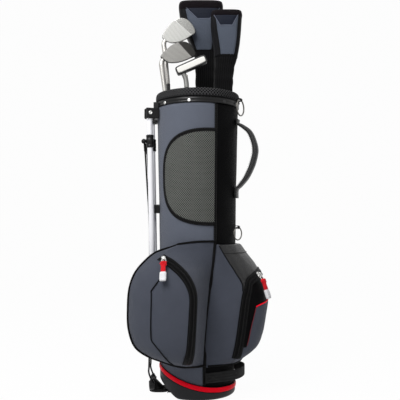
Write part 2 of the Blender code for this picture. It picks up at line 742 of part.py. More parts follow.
def make_pedal():
    """A plate hinged under the heel, with a knuckle that pushes the two kick rods up."""
    pin_ends = [PEDAL_PIN + Vector((0, side * PEDAL_PIN_REACH, 0)) for side in (-1, 1)]
    part("pedal_pin", rod_mesh("pedal_pin", *pin_ends, PEDAL_PIN_R), STEEL)
    plate_low = (PEDAL_TOE_X + PEDAL_EDGE * 5, -PEDAL_HALF_WIDTH, PEDAL_SOLE_Z)
    plate_high = (PEDAL_PIN.x - PEDAL_PIN_R * 0.7, PEDAL_HALF_WIDTH, PEDAL_SOLE_Z + PEDAL_PLATE)
    pedal = part("foot_pedal", box_mesh("foot_pedal", plate_low, plate_high), BLACK_RUBBER)
    barrel_ends = [PEDAL_PIN + Vector((0, side * PEDAL_HALF_WIDTH * 0.94, 0)) for side in (-1, 1)]
    join(pedal, helper("pedal_barrel", rod_mesh("pedal_barrel", *barrel_ends, PEDAL_BARREL_R)))
    foot = [
        (PEDAL_TOE_X, -KNUCKLE_HALF_WIDTH - PEDAL_EDGE * 3),
        (KNUCKLE_X[1] + PEDAL_EDGE * 6, -KNUCKLE_HALF_WIDTH - PEDAL_EDGE * 3),
        (KNUCKLE_X[1] + PEDAL_EDGE * 6, KNUCKLE_HALF_WIDTH + PEDAL_EDGE * 3),
        (PEDAL_TOE_X, KNUCKLE_HALF_WIDTH + PEDAL_EDGE * 3),
    ]
    top = [
        (KNUCKLE_X[0], -KNUCKLE_HALF_WIDTH),
        (KNUCKLE_X[1], -KNUCKLE_HALF_WIDTH),
        (KNUCKLE_X[1], KNUCKLE_HALF_WIDTH),
        (KNUCKLE_X[0], KNUCKLE_HALF_WIDTH),
    ]
    rings = ((foot, PEDAL_SOLE_Z + PEDAL_EDGE), (top, KNUCKLE_TOP_Z))
    rows = [[(x, y, z) for x, y in ring] for ring, z in rings]
    join(pedal, helper("pedal_knuckle", grid_mesh("pedal_knuckle", rows, wrap=True, caps=(True, True))))
    hole_ends = [PEDAL_PIN + Vector((0, side * PEDAL_PIN_REACH, 0)) for side in (-1, 1)]
    cut(pedal, helper("pedal_bore", rod_mesh("pedal_bore", *hole_ends, PEDAL_PIN_R + RUN)))
    for side in (-1, 1):
        centre = Vector((ROD_SEAT.x, side * ROD_SEAT.y, ROD_SEAT.z))
        cut(pedal, helper(f"rod_cup_{side}", ball_mesh("rod_cup", centre, ROD_END_R + RUN)))
    seat(pedal, PEDAL_PIN)


# Stand legs


def leg_frame(side):
    """Pivot, hinge axis and outward direction of a leg; side is -1 for the near leg."""
    pivot = Vector((LEG_PIVOT.x, side * LEG_PIVOT.y, LEG_PIVOT.z))
    splay = math.radians(LEG_SPLAY_DEG)
    axis = Vector((side * math.sin(splay), math.cos(splay), 0))
    out = Vector((-math.cos(splay), side * math.sin(splay), 0))
    return pivot, axis, out


def make_yoke():
    """One moulding with a pair of cheeks for each leg, and a back that fits the cuff band."""
    half = LEG_R + RUN + CHEEK
    low_z = LEG_PIVOT.z - CHEEK_DOWN
    high_z = LEG_PIVOT.z + CHEEK_UP
    plate_x = -(CUFF_R + YOKE_DEPTH * 0.3)
    plate_low = (plate_x, -YOKE_HALF_WIDTH, LEG_PIVOT.z - CHEEK_DOWN * 0.6)
    plate_high = (-CUFF_R * 0.82, YOKE_HALF_WIDTH, BODY_TOP_Z + BAND_HEIGHT * 0.9)
    yoke = part("leg_yoke", box_mesh("leg_yoke", plate_low, plate_high), BLACK_PLASTIC)
    for side in (-1, 1):
        pivot, axis, out = leg_frame(side)
        frame = Matrix((
            (out.x, axis.x, 0, pivot.x),
            (out.y, axis.y, 0, pivot.y),
            (0, 0, 1, 0),
            (0, 0, 0, 1),
        ))
        block = box_mesh("clevis", (-CHEEK_BACK - YOKE_DEPTH, -half, low_z), (CHEEK_FRONT, half, high_z))
        slot_low = (-CHEEK_BACK, -LEG_R - RUN, low_z - CHEEK)
        slot_high = (CHEEK_FRONT + CHEEK, LEG_R + RUN, high_z + CHEEK)
        slot = box_mesh("slot", slot_low, slot_high)
        clevis = bevel(helper(f"clevis_{side}", placed(block, frame)), 0.003)
        cut(clevis, helper(f"clevis_slot_{side}", placed(slot, frame)))
        join(yoke, clevis)
        hole = rod_mesh("hole", pivot - axis * half * 2, pivot + axis * half * 2, LEG_PIN_R + GAP)
        cut(yoke, helper(f"leg_pin_hole_{side}", hole))
    ends = [(0, 0, LEG_PIVOT_Z + side * LEG_LENGTH / 2) for side in (-1, 1)]
    tube = rod_mesh("cuff_clearance", *ends, CUFF_R + GAP, sides=4 * RING_STEPS)
    cut(yoke, helper("cuff_clearance", tube))


def make_leg(side, label):
    """Tube on a cross pin, with a rubber foot and the collar that carries the kick rod's ball."""
    pivot, axis, out = leg_frame(side)
    half = LEG_R + RUN + CHEEK
    pin = rod_mesh("pin", pivot - axis * (half + PIN_PROUD), pivot + axis * (half + PIN_PROUD), LEG_PIN_R)
    part(f"leg_pin_{label}", pin, STEEL)
    lean = Matrix.Rotation(-math.radians(LEG_LEAN_DEG), 4, axis)

    def hang(thing):
        thing.data.transform(lean)
        thing.location = pivot
        return thing

    bore = LEG_R - LEG_WALL
    crown = LEG_HEAD - LEG_R * 0.5
    profile = (
        (0, LEG_HEAD),
        (LEG_R * 0.7, LEG_HEAD - LEG_R * 0.12),
        (LEG_R, crown),
        (LEG_R, -LEG_LENGTH),
        (bore, -LEG_LENGTH),
        (bore, -LEG_PIN_R * 4),
        (0, -LEG_PIN_R * 4),
    )
    blank = turn(new_object("leg_blank", profile_mesh("leg_blank", profile), CUTTERS), PIPE_STEPS)
    tube = part(f"leg_tube_{label}", solid_mesh("leg_tube", blank), WHITE_TUBE)
    bpy.data.objects.remove(blank)
    hang(tube)
    cross = rod_mesh("hole", pivot - axis * half * 2, pivot + axis * half * 2, LEG_PIN_R + RUN)
    cut(tube, helper(f"leg_cross_hole_{label}", cross))

    plug = bore - GAP
    foot_profile = (
        (0, -LEG_LENGTH + FOOT_PLUG),
        (plug, -LEG_LENGTH + FOOT_PLUG),
        (plug, -LEG_LENGTH - GAP),
        (FOOT_R * 0.86, -LEG_LENGTH - GAP),
        (FOOT_R, -LEG_LENGTH - FOOT_LENGTH * 0.2),
        (FOOT_R, -LEG_LENGTH - FOOT_LENGTH * 0.45),
        (FOOT_R * 0.7, -LEG_LENGTH - FOOT_LENGTH * 0.58),
        (0, -LEG_LENGTH - FOOT_LENGTH * 0.62),
    )
    hang(turned_mesh_part(f"leg_foot_{label}", foot_profile, BLACK_RUBBER))

    low, high = -COLLAR_DROP - COLLAR_LENGTH / 2, -COLLAR_DROP + COLLAR_LENGTH / 2
    ring = (
        (COLLAR_R - COLLAR_LIP, high),
        (COLLAR_R, high - COLLAR_LIP),
        (COLLAR_R, low + COLLAR_LIP),
        (COLLAR_R - COLLAR_LIP, low),
        (LEG_R + GAP, low),
        (LEG_R + GAP, high),
    )
    collar = turned_mesh_part(f"leg_collar_{label}", ring, BLACK_PLASTIC, closed=True)
    hang(collar)
    ball_at = pivot + Vector((-BALL_REACH, 0, -COLLAR_DROP))
    root = pivot + Vector((-COLLAR_R * 0.9, 0, -COLLAR_DROP))
    stud = helper(f"ball_stud_{label}", rod_mesh("stud", root, ball_at, BALL_R * 0.55))
    join(collar, join(stud, helper(f"ball_{label}", ball_mesh("ball", ball_at, BALL_R))))


def turned_mesh_part(name, profile, material, closed=False):
    """A turned piece whose mesh is made at once, so that it can be leaned or cut."""
    blank = turn(new_object("turning", profile_mesh("turning", profile, closed), CUTTERS), PIPE_STEPS)
    thing = part(name, solid_mesh(name, blank), material)
    bpy.data.objects.remove(blank)
    return thing


def make_kick_rod(side, label):
    seat_at = Vector((ROD_SEAT.x, side * ROD_SEAT.y, ROD_SEAT.z))
    route = [(ROD_SEAT.x, ROD_SEAT.z)]
    route += [(LEG_PIVOT.x - out, z) for out, z in ROD_ROUTE]
    heights = [z for _, z in route]
    bend_z = heights[-3]
    points = []
    for x, z in smooth_rows(route, 19):
        share = max(0.0, (z - bend_z) / (heights[-1] - bend_z))
        points.append((x, side * (ROD_Y + share * (ROD_TOP_Y - ROD_Y)), z))
    curve = bpy.data.curves.new("kick_rod", "CURVE")
    curve.dimensions = "3D"
    curve.bevel_depth = ROD_R
    curve.bevel_resolution = 1
    curve.use_fill_caps = True
    spline = curve.splines.new("POLY")
    spline.points.add(len(points) - 1)
    for point, place in zip(spline.points, points):
        point.co = (*place, 1)
    wire = new_object("kick_rod_curve", curve, CUTTERS)
    mesh = solid_mesh("kick_rod", wire)
    bpy.data.objects.remove(wire)
    weld = bmesh.new()
    weld.from_mesh(mesh)
    bmesh.ops.remove_doubles(weld, verts=weld.verts, dist=0.00001)
    weld.to_mesh(mesh)
    weld.free()
    rod = part(f"kick_rod_{label}", mesh, BLACK_PLASTIC)
    join(rod, helper(f"rod_end_{label}", ball_mesh("rod_end", seat_at, ROD_END_R)))
    seat(rod, seat_at)


def make_keeper():
    """Block on the tube, between the legs, that the folded legs lie against."""
    low = (KEEPER_REACH_X, -KEEPER_HALF_WIDTH, KEEPER_Z - KEEPER_HEIGHT / 2)
    high = (-body_radius(KEEPER_Z) * 0.8, KEEPER_HALF_WIDTH, KEEPER_Z + KEEPER_HEIGHT / 2)
    keeper = bevel(part("leg_keeper", box_mesh("leg_keeper", low, high), BLACK_PLASTIC), 0.0025)
    cut(keeper, bpy.data.objects["tube_clearance"])


# Mesh pocket


def mesh_edge(share, shrink):
    """Angle from the near side's middle, and height, of the pocket's outline, from top to bottom."""
    middle = (MESH_Z[0] + MESH_Z[1]) / 2
    half = (MESH_Z[1] - MESH_Z[0]) / 2 - shrink
    right = math.pi / 2 - math.radians(SEAM_TOP_DEG)
    reach = right + math.radians(MESH_LEFT_DEG) - shrink / BODY_WAIST_R
    turn_by = math.pi * (share - 0.5)
    power = 2 / MESH_POWER
    across = abs(math.cos(turn_by)) ** power
    up = -math.copysign(abs(math.sin(turn_by)) ** power, turn_by)
    return right - reach * across, middle + half * up


def near_side(angle, z, out):
    """A point on the tube at an angle from the middle of its near side, towards the spine."""
    return on_body(angle - math.pi / 2, z, out)


def make_mesh_pocket():
    right = math.pi / 2 - math.radians(SEAM_TOP_DEG) - GAP / BODY_WAIST_R
    steps = 21
    inner = BINDING_WIDTH + GAP * 7
    panel, binding = [], []
    for k in range(steps):
        share = 0.5 - 0.4995 * math.cos(math.pi * k / (steps - 1))
        angle, z = mesh_edge(share, inner)
        lift = GAP * 4
        panel.append([near_side(right + (angle - right) * j / 8, z, lift) for j in range(9)])
        rows = []
        for shrink in (BINDING_WIDTH, BINDING_WIDTH / 2, 0):
            edge_angle, edge_z = mesh_edge(share, shrink)
            rows.append(near_side(min(edge_angle, right), edge_z, lift))
        binding.append(rows)
    thicken(part("mesh_panel", grid_mesh("mesh_panel", panel), GREY_MESH), MESH_THICK, 1)
    thicken(part("mesh_binding", grid_mesh("mesh_binding", binding), BLACK_CLOTH), BINDING_THICK, 1)


# Pockets and zips


def side_pocket_net():
    """Columns run from the seam over the zip to the outer edge and back along the rear face."""
    net = []
    for z, seam_x, zip_right, zip_left, fold, edge, back_x in SIDE_ROWS:
        radius = body_radius(z)
        seam_y = -math.sqrt(radius**2 - seam_x**2) - POCKET_PROUD
        gusset = (np.array((seam_x, seam_y)) + np.array(zip_right)) / 2
        rear_x = -math.sqrt(radius**2 - SIDE_BACK_Y**2) * 0.8
        columns = (
            (seam_x, seam_y),
            gusset,
            zip_right,
            zip_left,
            fold,
            edge,
            (back_x, SIDE_BACK_Y),
            (max(back_x, rear_x), SIDE_BACK_Y),
        )
        net.append([(x, y, z) for x, y in columns])
    net = np.array(net)
    net[-2:, :2, 2] += SIDE_TOP_RISE
    net[:2, :5, 2] -= SIDE_FOOT_DROP
    return net


def ball_pocket_net():
    """Columns run from the near seam round the front to the far seam."""
    net = []
    for z, seam_x, zip_inner, zip_outer, corner, front_x in BALL_ROWS:
        seam_y = -math.sqrt(body_radius(z) ** 2 - seam_x**2) - POCKET_PROUD
        half = [(seam_x, seam_y), zip_inner, zip_outer, corner]
        columns = half + [(front_x, 0.0)] + [(x, -y) for x, y in half[::-1]]
        net.append([(x, y, z) for x, y in columns])
    return np.array(net)


def pocket_part(name, net, columns, rows, core, material):
    """Closes a pocket's skin through the inside of the tube, then cuts the tube out of it."""
    grid = net_grid(net, columns, rows)
    inside = np.array(core) * BODY_WAIST_R
    closing = np.array([[(x, y, line[0][2]) for x, y in inside] for line in grid])
    mesh = grid_mesh(name, np.concatenate([grid, closing], axis=1), wrap=True, caps=(True, True))
    return cut(part(name, mesh, material), bpy.data.objects["tube_clearance"])


def on_net(net, shares):
    """Places in columns and rows from shares of the whole net."""
    return np.asarray(shares) * (net.shape[1] - 1, net.shape[0] - 1)


def skin_frame(net, place, out_sign):
    """Point of a pocket's skin, its slopes by column and by row, and its outward normal."""
    step = 1e-3
    here = net_point(net, *place)
    by_column = (net_point(net, place[0] + step, place[1]) - here) / step
    by_row = (net_point(net, place[0], place[1] + step) - here) / step
    normal = np.cross(by_column, by_row) * out_sign
    return here, by_column, by_row, normal / np.linalg.norm(normal)


def skin_walk(net, place, way, out_sign):
    """Place reached by going that way over a pocket's skin in short steps."""
    for _ in range(ZIP_STEPS):
        _, by_column, by_row, _ = skin_frame(net, place, out_sign)
        step = np.linalg.lstsq(np.column_stack([by_column, by_row]), way / ZIP_STEPS, rcond=None)[0]
        place = place + step
    return place


def zip_strip(net, route, count, width, out_sign):
    """A band of tape along a route of (column, row) places, lifted off the pocket's skin."""
    places = smooth_rows(on_net(net, route), count)
    grid = []
    for k, place in enumerate(places):
        here, by_column, by_row, normal = skin_frame(net, place, out_sign)
        ahead = places[min(k + 1, count - 1)] - places[max(k - 1, 0)]
        along = by_column * ahead[0] + by_row * ahead[1]
        across = np.cross(normal, along)
        across /= np.linalg.norm(across)
        line = []
        for offset in (-0.5, -0.25, 0, 0.25, 0.5):
            aside = skin_walk(net, place, across * width * offset, out_sign)
            line.append(net_point(net, *aside) + normal * ZIP_LIFT)
        grid.append(line)
    return np.array(grid)


def make_zip_tape(name, net, route, count, out_sign):
    strip = zip_strip(net, route, count, ZIP_WIDTH, out_sign)
    tape = part(name, grid_mesh(name, strip[:, ::-1]), BLACK_CLOTH)
    return thicken(tape, ZIP_THICK, 1)


def hanging_frame(hang_from, down, out):
    side = down.cross(out).normalized()
    return Matrix((
        (side.x, down.x, out.x, hang_from.x),
        (side.y, down.y, out.y, hang_from.y),
        (side.z, down.z, out.z, hang_from.z),
        (0, 0, 0, 1),
    ))


def make_slider(name, hang_from, down, out):
    """Slider body that rides on the tape."""
    wide, long, deep = SLIDER
    body = box_mesh("slider", (-wide / 2, -long * 0.8, -deep - RUN), (wide / 2, long * 0.2, -RUN))
    frame = hanging_frame(hang_from, down, out)
    bevel(part(f"{name}_zip_slider", placed(body, frame), STEEL), 0.0012, 1)


def make_pull(name, hang_from, down, out):
    """Tab that swings on the slider."""
    tab = box_mesh("tab", (-PULL_WIDTH / 2, 0, GAP), (PULL_WIDTH / 2, PULL_LENGTH, PULL_THICK))
    frame = hanging_frame(hang_from, down, out)
    pull = bevel(part(f"{name}_zip_pull", placed(tab, frame), RED_TRIM), 0.0014, 1)
    seat(pull, hang_from)


def make_pockets():
    rim = [(body_radius(z), z) for z in (BODY_TOP_Z, BODY_WAIST_Z, BODY_FOOT_Z)]
    outline = [(r + GAP, z) for r, z in rim]
    outline = [(0, BODY_TOP_Z), *outline, (BODY_FOOT_R, 0.0), (0, 0.0)]
    clearance = helper("tube_clearance", profile_mesh("tube_clearance", outline))
    turn(clearance, 2 * RING_STEPS)

    side_net = side_pocket_net()
    columns = np.linspace(0, 7, 22)
    rows = np.linspace(0, len(SIDE_ROWS) - 1, 19)
    pocket_part("side_pocket", side_net, columns, rows, SIDE_CORE_SHARES, GREY_CLOTH)
    make_zip_tape("side_zip_tape", side_net, SIDE_ZIP_SHARES, 32, -1)

    ball_net = ball_pocket_net()
    columns = np.linspace(0, 8, 29)
    rows = np.linspace(0, len(BALL_ROWS) - 1, 19)
    pocket_part("ball_pocket", ball_net, columns, rows, BALL_CORE_SHARES, GREY_CLOTH)
    far_half = [(1 - column, row) for column, row in BALL_ZIP_SHARES[-2::-1]]
    make_zip_tape("ball_zip_tape", ball_net, (*BALL_ZIP_SHARES, *far_half), 41, 1)


# Carrying side


def make_handle():
    """Padded grab handle sewn flat to the spine panel at both ends."""
    path = smooth_rows(HANDLE_ROUTE, 22)
    round_tube = Matrix.Rotation(math.radians(HANDLE_DEG), 3, "Z")
    rows = []
    for k, (reach, z) in enumerate(path):
        share = k / (len(path) - 1)
        swell = math.sin(math.pi * share) ** 2
        thick = HANDLE_END_THICK + (HANDLE_MID_THICK - HANDLE_END_THICK) * swell
        ahead, behind = path[min(k + 1, len(path) - 1)], path[max(k - 1, 0)]
        slope = [body_radius(p[1]) + p[0] for p in (ahead, behind)]
        along = Vector((slope[0] - slope[1], 0, ahead[1] - behind[1])).normalized()
        normal = Vector((-along.z, 0, along.x))
        centre = Vector((body_radius(z) + reach + GAP * 4 + HANDLE_END_THICK / 2, 0, z))
        ring = []
        for corner in range(8):
            turn_by = math.pi * (corner + 0.5) / 4
            square = max(abs(math.cos(turn_by)), abs(math.sin(turn_by)))
            flat = 0.5 * math.cos(turn_by) / square**0.7 * HANDLE_WIDTH
            rise = 0.5 * math.sin(turn_by) / square**0.7 * thick
            ring.append(round_tube @ (centre + Vector((0, flat, 0)) + normal * rise))
        rows.append(ring)
    part("grab_handle", grid_mesh("grab_handle", rows, wrap=True, caps=(True, True)), BLACK_CLOTH)


def make_ring(name, ring, panel_radius):
    """Round wire ring hanging in a webbing tab."""
    turn_by = math.radians(ring["turn"])
    place = math.radians(ring["deg"])
    reach = panel_radius + ring["out"]
    centre = Vector((reach * math.cos(place), reach * math.sin(place), ring["z"]))
    level = Vector((math.cos(turn_by), math.sin(turn_by), 0))
    face = Vector((math.sin(turn_by), -math.cos(turn_by), 0))
    frame = Matrix((
        (level.x, 0, face.x, centre.x),
        (level.y, 0, face.y, centre.y),
        (0, 1, 0, centre.z),
        (0, 0, 0, 1),
    ))
    bpy.ops.mesh.primitive_torus_add(
        major_radius=ring["r"], minor_radius=ring["wire"], major_segments=24, minor_segments=6
    )
    blank = bpy.context.active_object
    mesh = solid_mesh(name, blank)
    bpy.data.objects.remove(blank)
    top = centre + Vector((0, 0, ring["r"]))
    seat(part(name, placed(mesh, frame), STEEL), top)
    half = RING_TAB / 2
    bore = ring["wire"] + half**2 / (2 * ring["r"]) + RUN
    wall = bore + RING_TAB_WALL
    inward = ring["out"] + RING_TAB
    away = Vector((top.x, top.y, 0)).normalized()
    block = box_mesh("tab", (-half, -wall, -wall), (half, wall, wall))
    stem = box_mesh("stem", (-half, 0, -RING_TAB_WALL), (half, inward, RING_TAB_WALL))
    hinge = Matrix((
        (level.x, face.x, 0, top.x),
        (level.y, face.y, 0, top.y),
        (0, 0, 1, top.z),
        (0, 0, 0, 1),
    ))
    across = Vector((-away.y, away.x, 0))
    stem_frame = Matrix((
        (across.x, -away.x, 0, top.x),
        (across.y, -away.y, 0, top.y),
        (0, 0, 1, top.z + bore + RING_TAB_WALL * 0.4),
        (0, 0, 0, 1),
    ))
    tab = part(f"{name}_tab", placed(block, hinge), BLACK_CLOTH)
    join(tab, helper(f"{name}_stem", placed(stem, stem_frame)))
    far = level * (RING_TAB * 2)
    cut(tab, helper(f"{name}_hole", rod_mesh("hole", top - far, top + far, bore)))
    ends = [(0, 0, top.z + side * RING_TAB * 6) for side in (-1, 1)]
    wall_tube = rod_mesh("wall", *ends, panel_radius + GAP, sides=4 * RING_STEPS)
    cut(tab, helper(f"{name}_wall", wall_tube))


def make_base_strap():
    """Webbing sewn to the foot of the tube, standing off it in a carrying loop."""
    near = []
    for x, y, z in BASE_STRAP_ROUTE:
        lying = body_radius(z) + GAP * 4
        near.append((x, -math.sqrt(lying**2 - x**2) if y is None else y, z))
    far = [(x, -y, z) for x, y, z in near[-2::-1]]
    path = smooth_rows([*near, *far], 30)
    half = Vector((0, 0, BASE_STRAP_WIDTH / 2))
    strip = [[Vector(p) + half, Vector(p) - half] for p in path]
    strap = part("base_strap", grid_mesh("base_strap", strip), BLACK_CLOTH)
    thicken(strap, BASE_STRAP_THICK, 1)


# Clubs


def club_line(club):
    """Butt point, direction and the point at a height, of a club's shaft."""
    rim = Vector((*club["rim"], RIM_Z))
    low = Vector((*club["butt"], 0))
    along = (rim - low).normalized()
    lift = BASE_FLOOR + GAP + GRIP_BUTT_R * math.hypot(along.x, along.y)
    butt = low + along * (lift / along.z)

    def at(z):
        return butt + along * ((z - butt.z) / along.z)

    return butt, along, at


def along_club(thing, butt, along):
    thing.rotation_mode = "QUATERNION"
    thing.rotation_quaternion = along.to_track_quat("Z", "Y")
    thing.location = butt
    return thing


def make_shaft_and_grip(name, club):
    butt, along, at = club_line(club)
    length = (at(club["tip_z"]) - butt).length
    foot = GRIP_CAP + GAP
    shaft = (
        (0, length),
        (SHAFT_TIP_R, length),
        (SHAFT_BUTT_R, foot),
        (SHAFT_BUTT_R - SHAFT_WALL, foot),
        (SHAFT_TIP_R - SHAFT_WALL, length - SHAFT_TIP_R),
        (0, length - SHAFT_TIP_R),
    )
    along_club(turned_part(f"{name}_shaft", shaft, STEEL, PIPE_STEPS), butt, along)
    bore = SHAFT_BUTT_R + GAP
    grip = (
        (0, GRIP_CAP),
        (bore, GRIP_CAP),
        (bore, GRIP_LENGTH),
        (GRIP_MOUTH_R, GRIP_LENGTH),
        (GRIP_MOUTH_R + GRIP_EDGE * 0.4, GRIP_LENGTH - GRIP_EDGE * 2),
        (GRIP_BUTT_R, GRIP_EDGE * 6),
        (GRIP_BUTT_R - GRIP_EDGE, 0),
        (0, 0),
    )
    along_club(turned_part(f"{name}_grip", grip, BLACK_RUBBER, PIPE_STEPS), butt, along)


def bored_for_shaft(head, name, club):
    """Cuts the shaft's socket in a head."""
    _, along, at = club_line(club)
    tip = at(club["tip_z"])
    hole = rod_mesh("hole", tip - along * HOSEL_BORE_DEPTH * 3, tip + along * GAP, SHAFT_TIP_R + GAP * 2)
    cut(head, helper(f"{name}_socket", hole))


def make_iron(name, club, blade):
    """Blade with its face towards the near side, on a hosel round the shaft's tip."""
    _, along, at = club_line(club)
    foot = at(club["tip_z"] - HOSEL_BORE_DEPTH)
    heel = at(club["tip_z"] + HEEL_RISE)
    tilt = math.radians(blade["tilt"])
    toe_way = Vector((math.cos(tilt), 0, math.sin(tilt)))
    sole_way = Vector((-math.sin(tilt), 0, math.cos(tilt)))
    face_way = Vector((0, -1, 0))
    half = blade["thick"] / 2
    outline = smooth_rows(BLADE_SHARES, 28, closed=True)
    middle = outline.mean(axis=0)
    rows = []
    for depth, scale in ((-half, 0.86), (-half * 0.3, 0.985), (half * 0.85, 1.0), (half, 0.985)):
        ring = []
        for u, w in middle + (outline - middle) * scale:
            place = heel + toe_way * (u * blade["length"]) + sole_way * (w * blade["height"])
            ring.append(place + face_way * depth)
        rows.append(ring)
    head = part(f"{name}_head", grid_mesh(f"{name}_head", rows, wrap=True, caps=(True, True)), STEEL)
    top = heel + along * HOSEL_RISE
    join(head, helper(f"{name}_hosel", rod_mesh("hosel", foot, top, HOSEL_R, HOSEL_R * 0.9, 16)))
    bored_for_shaft(head, name, club)


def make_putter(name, club, blade):
    _, along, at = club_line(club)
    tip = at(club["tip_z"])
    tilt = math.radians(blade["tilt"])
    frame = Matrix.Translation(tip + along * PUTTER_RISE) @ Matrix.Rotation(-tilt, 4, "Y")
    toe = 1 - blade["heel"]
    low = (-blade["length"] * blade["heel"], -blade["depth"] / 2, -PUTTER_SEAT)
    high = (blade["length"] * toe, blade["depth"] / 2, blade["height"] - PUTTER_SEAT)
    mesh = placed(box_mesh(f"{name}_head", low, high), frame)
    head = bevel(part(f"{name}_head", mesh, DARK_STEEL), blade["round"])
    foot = at(club["tip_z"] - HOSEL_BORE_DEPTH)
    hosel = rod_mesh("hosel", foot, tip + along * PUTTER_RISE * 2, HOSEL_R, sides=16)
    join(head, helper(f"{name}_hosel", hosel))
    bored_for_shaft(head, name, club)


def oval_ring(centre, half_width, half_depth, steps=20, square=2.6):
    """Rounded-rectangle ring, level, about a point."""
    ring = []
    for k in range(steps):
        angle = 2 * math.pi * k / steps
        c, s = math.cos(angle), math.sin(angle)
        x = half_width * math.copysign(abs(c) ** (2 / square), c)
        y = half_depth * math.copysign(abs(s) ** (2 / square), s)
        ring.append(centre + Vector((x, y, 0)))
    return ring


def make_covered_wood(name, club, cover):
    """Wood head inside a sewn cover whose knitted sock runs down the shaft into the bag."""
    _, along, at = club_line(club)
    fine = smooth_rows(cover, 13)
    rings = [oval_ring(at(z) + Vector((shift, 0, 0)), wide, deep) for z, wide, deep, shift in fine]
    crown_z = fine[-1][0] + COVER_CROWN
    crown = at(crown_z) + Vector((fine[-1][3], 0, 0))
    rings.append(oval_ring(crown, fine[-1][1] * 0.6, fine[-1][2] * 0.6))
    skin = grid_mesh(f"{name}_cover", rings, wrap=True, caps=(False, True))
    thicken(part(f"{name}_cover", skin, GREY_CLOTH), COVER_WALL, -1)

    inset = COVER_WALL + COVER_CLEAR
    top_z = fine[-1][0] - COVER_WALL - GAP
    neck_z = club["tip_z"] - HOSEL_BORE_DEPTH
    head_foot_z = cover[-HEAD_ROWS - 3][0]
    rows = []
    for share in np.linspace(0, 1, 7):
        z = head_foot_z + share * (top_z - head_foot_z)
        wide, deep, shift = (np.interp(z, fine[:, 0], fine[:, k]) for k in (1, 2, 3))
        swell = 0.42 + 0.58 * math.sin(math.pi / 2 * min(1.0, share * 1.5))
        close = 0.78 if share == 1 else 1.0
        centre = at(z) + Vector((shift, 0, 0))
        size = swell * close
        rows.append(oval_ring(centre, (wide - inset) * size, (deep - inset) * size, 16, 2.2))
    head = part(f"{name}_head", grid_mesh(f"{name}_head", rows, wrap=True, caps=(True, True)), DARK_STEEL)
    hosel_top = at(head_foot_z + HOSEL_BORE_DEPTH / 2)
    join(head, helper(f"{name}_hosel", rod_mesh("hosel", at(neck_z), hosel_top, HOSEL_R, sides=16)))
    centre = np.mean([row for row in rows[2:]], axis=(0, 1))
    inside = np.array(rows[2:]) * (1 - HEAD_WALL_SHARE) + centre * HEAD_WALL_SHARE
    hollow = helper(f"{name}_hollow", grid_mesh("hollow", inside, wrap=True, caps=(True, True)))
    channel_foot = at(club["tip_z"] - HOSEL_BORE_DEPTH / 4)
    channel = rod_mesh("channel", channel_foot, Vector(centre), SHAFT_TIP_R * 0.7)
    cut(head, join(hollow, helper(f"{name}_channel", channel)))
    bored_for_shaft(head, name, club)


def make_clubs():
    for name, club in CLUBS.items():
        make_shaft_and_grip(name, club)
    make_iron("iron_1", CLUBS["iron_1"], IRON_1_BLADE)
    make_iron("iron_2", CLUBS["iron_2"], IRON_2_BLADE)
    make_putter("putter", CLUBS["putter"], PUTTER_BLADE)
    make_covered_wood("driver", CLUBS["driver"], DRIVER_COVER)
    make_covered_wood("hybrid", CLUBS["hybrid"], HYBRID_COVER)


def make_pulls():
    for name, net, place, rest, out_sign in (
        ("side", side_pocket_net(), SIDE_PULL_SHARES, SIDE_REST_SHARES, -1),
        ("ball", ball_pocket_net(), BALL_PULL_SHARES, BALL_REST_SHARES, 1),
    ):
        here, _, by_row, normal = skin_frame(net, on_net(net, place), out_sign)
        slope = Vector(-by_row).normalized()
        under = ZIP_LIFT + ZIP_THICK + GAP
        hinge = Vector(here + normal * (under + SLIDER[2] + RUN))
        make_slider(name, hinge, slope, Vector(normal))
        low, _, _, low_normal = skin_frame(net, on_net(net, rest), out_sign)
        down = (Vector(low + low_normal * (under + SLIDER[2])) - hinge).normalized()
        out = Vector(normal + low_normal)
        make_pull(name, hinge, down, (out - down * out.dot(down)).normalized())


make_tube()
make_cuff()
make_divider()
make_base()
make_pedal()
make_yoke()
make_pockets()
make_keeper()
for leg_side, leg_label in ((-1, "near"), (1, "far")):
    make_leg(leg_side, leg_label)
    make_kick_rod(leg_side, leg_label)
make_mesh_pocket()
make_handle()
make_ring("upper_ring", UPPER_RING, CUFF_R + PAD_BULGE)
make_ring("lower_ring", LOWER_RING, body_radius(LOWER_RING["z"] + LOWER_RING["r"]))
make_base_strap()
make_pulls()
make_clubs()
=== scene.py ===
import math

import bpy
import numpy as np
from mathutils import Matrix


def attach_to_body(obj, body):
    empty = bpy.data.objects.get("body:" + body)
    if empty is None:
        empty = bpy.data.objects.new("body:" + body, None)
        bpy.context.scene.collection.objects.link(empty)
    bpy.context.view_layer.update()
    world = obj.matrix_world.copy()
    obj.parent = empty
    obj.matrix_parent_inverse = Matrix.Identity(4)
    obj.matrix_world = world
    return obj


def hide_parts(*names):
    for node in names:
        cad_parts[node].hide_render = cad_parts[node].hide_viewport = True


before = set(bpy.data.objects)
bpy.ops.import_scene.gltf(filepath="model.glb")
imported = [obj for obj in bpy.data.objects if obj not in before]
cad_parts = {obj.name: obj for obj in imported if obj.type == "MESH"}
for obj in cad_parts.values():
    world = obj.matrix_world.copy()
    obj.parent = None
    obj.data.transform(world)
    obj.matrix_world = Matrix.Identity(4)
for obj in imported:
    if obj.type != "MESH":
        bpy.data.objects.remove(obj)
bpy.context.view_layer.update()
print("frame loaded:", len(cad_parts), "nodes")

# camera and light

shot = {
    "eye": (0.006, -1.541, 0.408), "tiltDeg": 2.4, "lens": 55.4, "worldLight": 0.25,
    # place, turn in degrees, size and power of each lamp
    "lamps": {
        "keyLamp": ((-0.62, -1.15, 1.72), (47, 0, -28), 1.0, 33.0),
        "fillLamp": ((1.9, -1.6, 1.0), (72, 0, 50), 1.8, 1.4),
        "topLamp": ((0.0, 0.4, 2.4), (0, 0, 0), 1.6, 9.0),
    },
}


